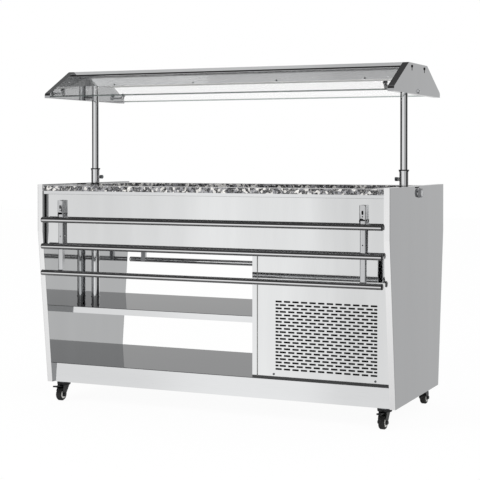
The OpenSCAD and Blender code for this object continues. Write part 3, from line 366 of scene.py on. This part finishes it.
def copyNode(name):  # a merged copy of a CAD node, with its flat faces whole again, in edit mode
    bpy.ops.object.select_all(action="DESELECT")
    piece = bpy.data.objects.new(name + "Copy", nodes[name].data.copy())
    bpy.context.collection.objects.link(piece)
    piece.select_set(True)
    bpy.context.view_layer.objects.active = piece
    bpy.ops.object.mode_set(mode="EDIT")
    bpy.ops.mesh.select_all(action="SELECT")
    bpy.ops.mesh.remove_doubles(threshold=0.00002)
    bpy.ops.mesh.dissolve_limited(angle_limit=math.radians(0.5))


def foldPicked(s):  # rounds the picked edges as a press brake does
    bpy.ops.mesh.bevel(offset=s["radius"], segments=s["steps"], affect="EDGES", clamp_overlap=False)


def wearTwo(first, second):  # the first finish goes all over, and the second waits for picked faces
    bpy.context.object.data.materials.clear()
    bpy.context.object.data.materials.append(finishes[first])
    bpy.context.object.data.materials.append(finishes[second])


def wearSecond():
    bpy.context.object.active_material_index = 1
    bpy.ops.object.material_slot_assign()


print("modelling: folded arms and brackets")
# The tray slides' arms and brackets are folded from sheet, so their long edges are round. Inside the fold, on the front
# arms and the brackets, the sheet is painted dark as shade; the rear arms keep the ground finish inside.
foldedSheet = {"radius": 0.0026, "steps": 3, "armX": 0.619, "armHalf": 0.010, "bracketHalf": 0.012, "armFront": 0.3453,
               "bracketFront": 0.3471, "reach": 0.0004, "skin": 0.001, "frontSkin": 0.0012, "hingeTop": 0.744}


def makeFolded(s, name, half, frontY, body, inside="foldInsideShade"):
    copyNode(name)
    pick("EDGE", lambda at, run: half - s["reach"] < abs(abs(at.x) - s["armX"]) < half + s["reach"]
         and abs(run.x) < 0.0001 and run.length > 0.0005
         and (abs(at.y) > frontY - s["frontSkin"] or at.z > s["hingeTop"] and half < 0.011))
    foldPicked(s)
    wearTwo("arm", inside)
    pick("FACE", lambda at, normal: abs(abs(at.x) - s["armX"]) < half - s["skin"] and abs(at.y) < frontY - s["frontSkin"]
         and (abs(normal.x) > 0.9 or normal.y * at.y < 0 and abs(normal.y) > 0.9))
    wearSecond()
    return endShape(name + "Folded", "arm", body, [name])


makeFolded(foldedSheet, "arms_front", foldedSheet["armHalf"], foldedSheet["armFront"], "front_slide")
makeFolded(foldedSheet, "arms_rear", foldedSheet["armHalf"], foldedSheet["armFront"], "rear_slide", "arm")
makeFolded(foldedSheet, "slide_brackets", foldedSheet["bracketHalf"], foldedSheet["bracketFront"], "cabinet")

print("modelling: canopy")
# The canopy's ends are closed boxes: an inner skin of bright sheet lies flush with the flanges' edges.
endSkin = {"x": 0.695, "thick": 0.0015, "low": 1.2017, "high": 1.3113, "flank": 0.2983,
           "slopeFoot": (0, 0.3, 1.217), "slopeWay": (0, 0.4685, 0.8834), "inset": 0.0017}


def makeEndSkins(s):
    startBox((-s["x"] - s["thick"], -s["flank"], s["low"]), (-s["x"], s["flank"], s["high"]))
    for side in (-1, 1):
        way = Vector((0, side * s["slopeWay"][1], s["slopeWay"][2]))
        foot = Vector((0, side * s["slopeFoot"][1], s["slopeFoot"][2])) - s["inset"] * way
        bpy.ops.mesh.select_all(action="SELECT")
        bpy.ops.mesh.bisect(plane_co=tuple(foot), plane_no=tuple(way), use_fill=True, clear_outer=True)
    roundEdges(0.0004)
    left = endShape("canopySkin_left", "liner", "canopy")
    copyPiece(left, "canopySkin_right", "canopy", mirror=(-1, 1, 1))


# Round knobs on the glass clamps' discs, flat at both ends.
clampKnob = {"x": 0.669, "y": 0.2456, "z": 1.2335, "radius": 0.0062, "low": 0.87, "high": 0.93, "pin": 0.2}


def makeClampKnobs(s):
    r = s["radius"]
    arc = [(r * math.cos(math.radians(a)), r * math.sin(math.radians(a))) for a in range(-60, 76, 15)]
    startLathe([(0, -r * s["low"])] + arc + [(r * s["pin"], r * s["high"]), (0, r * s["high"])],
               (-s["x"], -s["y"], s["z"]), "Z", 24)
    knob = endShape("clampKnob_left_front", "blackNickel", "canopy")
    copyPiece(knob, "clampKnob_right_front", "canopy", mirror=(-1, 1, 1))
    copyPiece(knob, "clampKnob_left_rear", "canopy", mirror=(1, -1, 1))
    copyPiece(knob, "clampKnob_right_rear", "canopy", mirror=(-1, -1, 1))


# A black rubber strip in the gap between the roof's lip and the glass: painted shade, standing for the shadow in that
# gap.
glassGapShade = {"x": 0.6945, "front": 0.1238, "back": 0.1145, "low": 1.29, "high": 1.3008, "glassDepth": 0.0139}


def makeGlassGapShades(s):
    startBox((-s["x"], -s["front"], s["low"]), (s["x"], -s["back"], s["high"]))
    way = Vector((0, -endSkin["slopeWay"][1], endSkin["slopeWay"][2]))
    foot = Vector((0, -endSkin["slopeFoot"][1], endSkin["slopeFoot"][2])) - s["glassDepth"] * way
    bpy.ops.mesh.select_all(action="SELECT")
    bpy.ops.mesh.bisect(plane_co=tuple(foot), plane_no=tuple(way), use_fill=True, clear_inner=True)
    roundEdges(0.0005, 2)
    front = endShape("glassSeal_front", "seal", "canopy")
    copyPiece(front, "glassSeal_rear", "canopy", mirror=(1, -1, 1))


# Pan-head screws that hold the lamp housing's sides.
housingScrews = {"x": (-0.534, -0.178, 0.178, 0.534), "y": 0.0697, "z": 1.2615,
                 "outline": ((0, 0.0), (0.0034, 0.0), (0.0034, 0.0009), (0.0029, 0.0017), (0.0018, 0.0021),
                             (0.0016, 0.0014), (0, 0.0014))}


def makeHousingScrews(s):
    startLathe(s["outline"], steps=18)
    turnToFront()
    screw = endShape("housingScrew", "seal", "canopy")
    flip = frontSign(screw)
    for index, x in enumerate(s["x"]):
        for side, name in ((-1, "front"), (1, "rear")):
            copyPiece(screw, f"housingScrew_{name}_{index + 1}", "canopy", (x, side * s["y"], s["z"]), (1, -side * flip, 1))
    bpy.data.objects.remove(screw)


# Black caps over the rail screws in the end plates, each with a black strip in the keyhole below it: both are painted
# shade, dead-matt black standing for the keyhole's shadow.
railShadeCap = {"x": 0.719, "y": 0.081, "z": 1.3, "radius": 0.0052, "stripHalf": 0.0027, "stripLow": 1.2845,
           "stripThick": 0.0007, "stripSunk": 0.001}


def makeRailCaps(s):
    r = s["radius"]
    startLathe([(0, 0.0), (r, 0.0), (r, 0.0016), (r * 0.93, 0.0024), (r * 0.62, 0.003), (0, 0.0032)], steps=24)
    cap = endShape("railShadeCap", "foam", "canopy")
    startBox((s["x"] - s["stripSunk"], -s["stripHalf"], s["stripLow"]), (s["x"] + s["stripThick"], s["stripHalf"], s["z"]))
    roundEdges(0.0004)
    strip = endShape("keyholeShadeStrip", "foam", "canopy")
    for side, end in ((-1, "left"), (1, "right")):
        for y, name in ((-s["y"], "front"), (s["y"], "rear")):
            copyPiece(cap, f"railShadeCap_{end}_{name}", "canopy", (side * s["x"], y, s["z"]), (side, 1, 1))
            copyPiece(strip, f"keyholeShadeStrip_{end}_{name}", "canopy", (0, y, 0), (side, 1, 1))
    bpy.data.objects.remove(cap)
    bpy.data.objects.remove(strip)


makeEndSkins(endSkin)
makeClampKnobs(clampKnob)
makeGlassGapShades(glassGapShade)
makeHousingScrews(housingScrews)
makeRailCaps(railShadeCap)

print("modelling: posts")
# Wiper rings where the posts slide into the sleeves, and a bead of sealant round each sleeve's foot.
postRing = {"x": 0.664, "inner": 0.01425, "outer": 0.0196, "tall": 0.0045, "top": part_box("sleeve_left")[1][2],
            "stone": 0.855, "sleeve": 0.01705}


def makePostRings(s):
    inner, outer, tall, foot = s["inner"], s["outer"], s["tall"], s["sleeve"]
    startLathe([(inner, 0), (outer - 0.0005, 0), (outer, 0.0006), (outer, tall - 0.0008), (outer - 0.0009, tall),
                (inner + 0.0004, tall), (inner, tall - 0.0005), (inner, 0)], (-s["x"], 0, s["top"]), "Z", 48)
    ring = endShape("postRing_left", "seal", "cabinet")
    copyPiece(ring, "postRing_right", "cabinet", mirror=(-1, 1, 1))
    startLathe([(foot, 0.0001), (foot + 0.0042, 0.0001), (foot + 0.003, 0.0012), (foot + 0.0012, 0.0026), (foot, 0.0042),
                (foot, 0.0001)], (-s["x"], 0, s["stone"]), "Z", 48)
    bead = endShape("sleeveBead_left", "seal", "cabinet")
    copyPiece(bead, "sleeveBead_right", "cabinet", mirror=(-1, 1, 1))


makePostRings(postRing)

print("modelling: cabinet")
# The end panels' folded skins: brighter on their front and rear edges, a painted highlight.
skinFold = {"radius": 0.0016, "steps": 3, "outer": 0.72, "reach": 0.0002}


def makeEndFold(s, name):
    copyNode(name)
    pick("EDGE", lambda at, run: abs(abs(at.x) - s["outer"]) < s["reach"] and abs(at.y) > 0.2
         and abs(run.z) > 0.1 and abs(run.x) < 0.0001)
    foldPicked(s)
    wearTwo("sheetEndShaded", "edgeFoldHighlight")
    pick("FACE", lambda at, normal: abs(normal.y) > 0.8)
    wearSecond()
    return endShape(name + "Folded", "sheetEndShaded", "cabinet", [name], smooth=10)


makeEndFold(skinFold, "end_panel_left")
makeEndFold(skinFold, "end_panel_right")

# The shelf and the deck have folded front and rear edges, and tops in a darker copy of the sheet, painted shade.
shelfFold = {"radius": 0.0018, "steps": 3, "reach": 0.0003}


def makeShelf(s, name):
    copyNode(name)
    low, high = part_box(name)
    pick("EDGE", lambda at, run: abs(run.x) > 0.4 and min(abs(at.y - low[1]), abs(at.y - high[1])) < s["reach"]
         and abs(at.z - high[2]) < s["reach"])
    foldPicked(s)
    wearTwo("sheetLengthwise", "sheetDeckShaded")
    pick("FACE", lambda at, normal: normal.z > 0.9)
    wearSecond()
    return endShape(name + "Folded", "sheetDeckShaded", "cabinet", [name], smooth=10)


makeShelf(shelfFold, "mid_shelf")
makeShelf(shelfFold, "base_deck")

# The punch pulls the slots' edges in, so they look larger than they are: their walls are moved out a little, and are
# painted dark as the shade inside the slots.
slotEdges = {"low": 0.16, "high": 0.61, "left": 0.18, "right": 0.688, "endTall": 0.0009, "endWide": 0.0006}


def makeGrille(s, name):
    copyNode(name)
    wearTwo("sheetUpright", "foldInsideShade")
    for axis, reach in ((2, s["endTall"]), (0, s["endWide"])):
        for way in (1, -1):
            pick("FACE", lambda at, normal: normal[axis] * way < -0.3 and abs(normal.y) < 0.2
                 and s["low"] < at.z < s["high"] and s["left"] < at.x < s["right"])
            step = [0, 0, 0]
            step[axis] = way * reach
            bpy.ops.transform.translate(value=step)
            wearSecond()
    return endShape(name + "Punched", "sheetUpright", "cabinet", [name])


makeGrille(slotEdges, "grille_front")
makeGrille(slotEdges, "grille_rear")

# Joints between the sheets: grey silicone beside the slotted panel. The black rubber strips under the worktop's rim and
# in the corners of the fascia are painted shade, dark lines where shadow falls in the gaps.
jointsAndShadowStrips = {"panelGap": ((0.1686, -0.2378, 0.151), (0.1726, -0.2362, 0.6185)),
              "rimShadow": ((-0.6975, -0.3292, 0.8218), (0.6975, -0.3278, 0.8229)),
              "cornerShadow_left": ((-0.6978, -0.3302, 0.6212), (-0.6938, -0.3278, 0.8215)),
              "cornerShadow_right": ((0.6938, -0.3302, 0.6212), (0.6978, -0.3278, 0.8215))}


def makeJointsAndShadowStrips(s):
    for name, (low, high) in s.items():
        startBox(low, high)
        roundEdges(0.0004, 2)
        front = endShape(name + "_front", "joint" if name == "panelGap" else "seal", "cabinet")
        if name != "panelGap":
            copyPiece(front, name + "_rear", "cabinet", mirror=(1, -1, 1))


makeJointsAndShadowStrips(jointsAndShadowStrips)

# A foam filter behind the front slotted panel, with a raised border. It is dead black and sits close behind the slots:
# partly the filter, partly painted shade seen through the slots.
filterMatAndShade = {"low": (0.185, -0.2345, 0.165), "high": (0.683, -0.229, 0.605), "border": 0.012, "dent": 0.0012}


def makeFilter(s):
    startBox(s["low"], s["high"])
    pick("FACE", lambda at, normal: abs(normal.y) > 0.9)
    bpy.ops.mesh.inset(thickness=s["border"], depth=-s["dent"])
    roundEdges(0.0004)
    endShape("filterMat_front", "foam", "cabinet")


makeFilter(filterMatAndShade)

# The thermostat's knob carries a turned aluminium disc, and a bright ring lies round its bezel.
knobDress = {"y": 0.009, "z": 0.834, "disc": 0.0127, "floor": 0.7308, "face": 0.7317, "ring": 0.0212, "ringWide": 0.0022,
             "ringFloor": 0.7196, "ringFace": 0.7214}


def makeKnobDress(s):
    r, floor, face = s["disc"], s["floor"], s["face"]
    startLathe([(0, floor), (r, floor), (r, face - 0.0003), (r - 0.0004, face), (r * 0.62, face), (r * 0.6, face - 0.0003),
                (r * 0.58, face), (0, face)], (0, s["y"], s["z"]), steps=48)
    endShape("knobDisc", "turned", "thermostat")
    r, floor, face, inner = s["ring"], s["ringFloor"], s["ringFace"], s["ring"] - s["ringWide"]
    startLathe([(inner, floor), (r, floor), (r, floor + 0.001), (r - 0.0006, face), (r - 0.0015, face),
                (inner, face - 0.0007), (inner, floor)], (0, s["y"], s["z"]), steps=60)
    endShape("knobRing", "post", "cabinet")


makeKnobDress(knobDress)

print("modelling: castors")
corners = (("fl", -1, -1), ("fr", 1, -1), ("rl", -1, 1), ("rr", 1, 1))


def copyToCorners(piece, name, body, s, mirrored=False):  # one copy on each castor, in place of the piece
    for corner, x, y in corners:
        copyPiece(piece, f"{name}_{corner}", f"{body}_{corner}", (x * s["x"], y * s["y"], s["z"]),
                  (1, -y if mirrored else 1, 1))
    bpy.data.objects.remove(piece)


# Pale nylon hubs let into the rubber wheels, one each side.
hubRing = {"x": 0.668, "y": 0.262, "z": 0.025, "outer": 0.0162, "inner": 0.0098, "start": 0.0104, "proud": 0.0121}


def makeHubRings(s):
    o, i, a, b = s["outer"], s["inner"], s["start"], s["proud"]
    startLathe([(i, a), (o, a), (o, b - 0.0006), (o - 0.0007, b), (o - 0.0026, b), (o - 0.0034, b - 0.0008),
                (i + 0.001, b - 0.0008), (i, b - 0.0012), (i, a)], steps=40)
    bpy.ops.object.modifier_add(type="MIRROR")
    bpy.context.object.modifiers[-1].use_axis = (True, False, False)
    ring = endShape("hubRing", "pale", "cabinet")
    copyToCorners(ring, "hubRing", "wheel", s)


# A cast shoe closes the fork's back over the wheel, and eases away from the tread.
brakeShoe = {"x": 0.668, "y": 0.242, "z": 0, "low": (-0.0126, -0.006, 0.0465), "high": (0.0126, 0.008, 0.0556),
             "chamfer": 0.004}


def makeBrakeShoes(s):
    startBox(s["low"], s["high"])
    pick("EDGE", lambda at, run: abs(run.x) > 0.01 and at.z < s["low"][2] + 0.001 and at.y > 0)
    bpy.ops.mesh.bevel(offset=s["chamfer"], segments=4, affect="EDGES")
    roundEdges(0.0005)
    shoe = endShape("brakeShoe", "blackCoat", "cabinet")
    copyToCorners(shoe, "brakeShoe", "fork", s, mirrored=True)


# Dust covers on the forks' crowns hide the ball race under the castor plates.
dustCover = {"x": 0.668, "y": 0.242, "z": 0, "low": 0.0604, "high": 0.0718, "inner": 0.0222, "outer": 0.0268}


def makeDustCovers(s):
    i, o, a, b = s["inner"], s["outer"], s["low"], s["high"]
    startLathe([(i, a), (o - 0.003, a), (o - 0.001, a + 0.0012), (o, a + 0.004), (o, b - 0.001), (o - 0.001, b), (i, b),
                (i, a)], axis="Z", steps=40)
    cover = endShape("dustCover", "blackCoat", "cabinet")
    copyToCorners(cover, "dustCover", "fork", s)


makeHubRings(hubRing)
makeBrakeShoes(brakeShoe)
makeDustCovers(dustCover)

print("modelling: tray slides")
# Rippled weld beads above and below each tube, where it crosses an arm.
weldBead = {"x": 0.619, "y": 0.3464, "tubes": (0.722, 0.619, 0.516), "lift": 0.0062, "radius": 0.0015, "half": 0.0092,
            "ripples": 9}


def makeWeldBeads(s):
    count, half, radius = s["ripples"], s["half"], s["radius"]
    outline = [(0, -half)]
    for index in range(count):
        middle = -half + (index + 0.5) * 2 * half / count
        outline += [(radius * 0.8, middle - half / count * 0.8), (radius, middle), (radius * 0.9, middle + half / count * 0.7)]
    startLathe(outline + [(0, half)], steps=12)
    bead = endShape("weldBead", "weld", "front_slide", smooth=60)
    for side, body in ((-1, "front_slide"), (1, "rear_slide")):
        beads = [copyPiece(bead, "bead", body, move=(x, side * s["y"], z + lift))
                 for x in (-s["x"], s["x"]) for z in s["tubes"] for lift in (-s["lift"], s["lift"])]
        bpy.ops.object.select_all(action="DESELECT")
        for piece in beads:
            piece.select_set(True)
        bpy.context.view_layer.objects.active = beads[0]
        bpy.ops.object.join()
        beads[0].name = beads[0].data.name = "weldBeads_" + body.split("_")[0]
    bpy.data.objects.remove(bead)


# Socket-head bolts that hold the brackets, behind their keyholes.
bracketBolt = {"x": 0.619, "y": 0.3298, "z": 0.7725,
               "outline": ((0, 0), (0.0052, 0), (0.0052, 0.0022), (0.0047, 0.0028), (0.0025, 0.0028), (0.0025, 0.0008),
                           (0, 0.0008))}


def makeBracketBolts(s):
    startLathe(s["outline"], steps=24)
    turnToFront()
    bolt = endShape("bracketBolt", "blackCoat", "cabinet")
    flip = frontSign(bolt)
    for side, name in ((-1, "front"), (1, "rear")):
        for x, end in ((-s["x"], "left"), (s["x"], "right")):
            copyPiece(bolt, f"bracketBolt_{name}_{end}", "cabinet", (x, side * s["y"], s["z"]), (1, -side * flip, 1))
    bpy.data.objects.remove(bolt)


makeWeldBeads(weldBead)
makeBracketBolts(bracketBolt)

cameraSettings = {"place": (2.0806, -4.6615, 0.9754), "azimuth": 24.12, "pitch": -0.667, "lens": 97.091,
                  "shiftY": -0.1458}


def makeCamera(s):
    turn = (math.radians(90 + s["pitch"]), 0, math.radians(s["azimuth"]))
    bpy.ops.object.camera_add(location=s["place"], rotation=turn)
    camera = bpy.context.object
    camera.data.lens = s["lens"]
    camera.data.shift_y = s["shiftY"]
    bpy.context.scene.camera = camera


makeCamera(cameraSettings)

# The room that polished steel sees. Walls and ceiling: degrees from -X towards -Y, with their
# brightness. Front and back: the sine of the angle over the horizon, with a factor. The dark gaps
# between the walls end near the floor, and the ceiling has a skylight.
studio = {
    "walls": ((0, 0.05), (38, 0.06), (52, 0.86), (62, 0.9), (63.8, 1.02), (68.8, 1.01), (70.3, 0.87), (78, 0.9),
              (112, 0.95), (118, 0.4), (125, 0.38), (132, 0.62), (150, 0.58), (168, 0.05), (226, 0.05), (233, 0.75),
              (312, 0.73), (322, 0.06), (360, 0.05)),
    "ceiling": ((0, 0.05), (78, 0.05), (95, 0.45), (150, 0.6), (250, 0.6), (275, 0.1), (303, 0.09), (318, 0.21),
                (330, 0.25), (342, 0.06), (360, 0.05)),
    "front": ((-1.0, 0.12), (-0.75, 0.14), (-0.5, 0.6), (-0.3, 1.0), (-0.1, 0.98), (0.05, 0.92), (0.13, 0.3),
              (0.22, 0.06), (1.0, 0.05)),
    "back": ((-1.0, 0.5), (-0.5, 0.8), (-0.15, 0.93), (0.0, 0.97), (0.36, 0.86), (0.6, 0.06), (1.0, 0.04)),
    "corner": (-0.15, 0.15), "ceilingStart": (0.5, 0.65), "skylightStart": (0.79, 0.85), "skylightSide": (-0.3, -0.2),
    "skylight": 0.7, "gapFoot": (-0.09, -0.14), "belowGap": 0.55, "ambient": 0.85,
    "floorSize": 30, "floorDrop": 0.0005, "floorGlow": 0.95,
    "lampAim": (0, 0, 0.6), "lamps": (("key", (-2.5, -3.2, 3.2), 2.5, 60), ("fill", (3.0, -2.0, 2.6), 2.0, 25))}


def addRamp(tree, factor, stops):  # a curve through (place, brightness) pairs
    ramp = addNode(tree, "ShaderNodeValToRGB", {"Fac": factor})
    points = ramp.color_ramp.elements
    points[0].position, points[0].color = stops[0][0], (stops[0][1],) * 3 + (1,)
    points[1].position, points[1].color = stops[-1][0], (stops[-1][1],) * 3 + (1,)
    for place, brightness in stops[1:-1]:
        points.new(place).color = (brightness,) * 3 + (1,)
    return ramp.outputs[0]


def addSeen(tree):  # 1 for what the camera sees, straight or through glass, and 1 for all mirrored or bent light
    path = addNode(tree, "ShaderNodeLightPath")
    glossy, bent = path.outputs["Is Glossy Ray"], path.outputs["Is Transmission Ray"]
    straight = addNode(tree, "ShaderNodeMath", {0: path.outputs["Glossy Depth"], 1: 0.5}, operation="LESS_THAN")
    through = addNode(tree, "ShaderNodeMath", {0: bent, 1: straight.outputs[0]}, operation="MULTIPLY")
    seen = addNode(tree, "ShaderNodeMath", {0: path.outputs["Is Camera Ray"], 1: through.outputs[0]}, operation="MAXIMUM")
    mirrored = addNode(tree, "ShaderNodeMath", {0: glossy, 1: bent}, operation="MAXIMUM")
    return seen.outputs[0], mirrored.outputs[0]


def makeWorld(s):
    # The camera and the glass see plain white, polished steel sees the room, and matt things an even light.
    world = bpy.data.worlds.new("studio")
    world.use_nodes = True
    tree = world.node_tree
    tree.nodes.clear()
    way = addNode(tree, "ShaderNodeTexCoord").outputs["Generated"]
    x, y, z = addNode(tree, "ShaderNodeSeparateXYZ", {0: way}).outputs
    angle = addNode(tree, "ShaderNodeMath", {0: y, 1: x}, operation="ARCTAN2")
    turn = addNode(tree, "ShaderNodeMapRange", {0: angle.outputs[0], 1: -math.pi, 2: math.pi, 3: 0.0, 4: 1.0})
    lift = addNode(tree, "ShaderNodeMapRange", {0: z, 1: -1.0, 2: 1.0, 3: 0.0, 4: 1.0})
    walls, ceiling = (addRamp(tree, turn.outputs[0], [(degrees / 360, level) for degrees, level in s[part]])
                      for part in ("walls", "ceiling"))
    front, back = (addRamp(tree, lift.outputs[0], [((sine + 1) / 2, level) for sine, level in s[part]])
                   for part in ("front", "back"))

    def between(socket, ends, top=1.0):
        return addNode(tree, "ShaderNodeMapRange", {0: socket, 1: ends[0], 2: ends[1], 3: 0.0, 4: top}).outputs[0]

    low = between(z, s["gapFoot"], s["belowGap"])
    filled = addNode(tree, "ShaderNodeMath", {0: walls, 1: low}, operation="MAXIMUM")
    heights = addNode(tree, "ShaderNodeMix", {0: between(y, s["corner"]), 2: front, 3: back})
    around = addNode(tree, "ShaderNodeMath", {0: filled.outputs[0], 1: heights.outputs[0]}, operation="MULTIPLY")
    sky = addNode(tree, "ShaderNodeMath", {0: between(z, s["skylightStart"]), 1: between(x, s["skylightSide"])},
                  operation="MULTIPLY")
    above = addNode(tree, "ShaderNodeMix", {0: sky.outputs[0], 2: ceiling, 3: s["skylight"]})
    room = addNode(tree, "ShaderNodeMix", {0: between(z, s["ceilingStart"]), 2: around.outputs[0], 3: above.outputs[0]})
    seen, mirrored = addSeen(tree)
    bounced = addNode(tree, "ShaderNodeMix", {0: mirrored, 2: s["ambient"], 3: room.outputs[0]})
    strength = addNode(tree, "ShaderNodeMix", {0: seen, 2: bounced.outputs[0], 3: 1.0})
    background = addNode(tree, "ShaderNodeBackground", {"Color": (1, 1, 1, 1), "Strength": strength.outputs[0]})
    addNode(tree, "ShaderNodeOutputWorld", {"Surface": background.outputs[0]})
    world.cycles.sampling_method = "NONE"
    bpy.context.scene.world = world


def makeFloor(s):
    bpy.ops.mesh.primitive_plane_add(size=s["floorSize"], location=(0, 0, -s["floorDrop"]))
    floor = bpy.context.object
    floor.name = "studioFloor"
    material, tree = startMaterial("studio floor")
    seen, mirrored = addSeen(tree)
    matt = addNode(tree, "ShaderNodeBsdfDiffuse", {"Color": (1, 1, 1, 1)})
    white = addNode(tree, "ShaderNodeEmission", {"Color": (1, 1, 1, 1), "Strength": 1.0})
    share = addNode(tree, "ShaderNodeMath", {0: seen, 1: s["floorGlow"]}, operation="MULTIPLY")
    shown = addNode(tree, "ShaderNodeMixShader", {0: share.outputs[0], 1: matt.outputs[0], 2: white.outputs[0]})
    clear = addNode(tree, "ShaderNodeMath", {0: mirrored, 1: seen}, operation="SUBTRACT", use_clamp=True)
    room = addNode(tree, "ShaderNodeBsdfTransparent")  # steel mirrors the room's own floor
    surface = addNode(tree, "ShaderNodeMixShader", {0: clear.outputs[0], 1: shown.outputs[0], 2: room.outputs[0]})
    endMaterial(tree, surface)
    floor.data.materials.append(material)


def makeLamps(s):
    for name, place, size, watts in s["lamps"]:
        bpy.ops.object.light_add(type="AREA", location=place)
        lamp = bpy.context.object
        lamp.name = name
        lamp.data.energy = watts
        lamp.data.size = size
        lamp.visible_glossy = False
        lamp.rotation_euler = (Vector(s["lampAim"]) - Vector(place)).to_track_quat("-Z", "Y").to_euler()


makeWorld(studio)
makeFloor(studio)
makeLamps(studio)
print("camera, floor and light set")
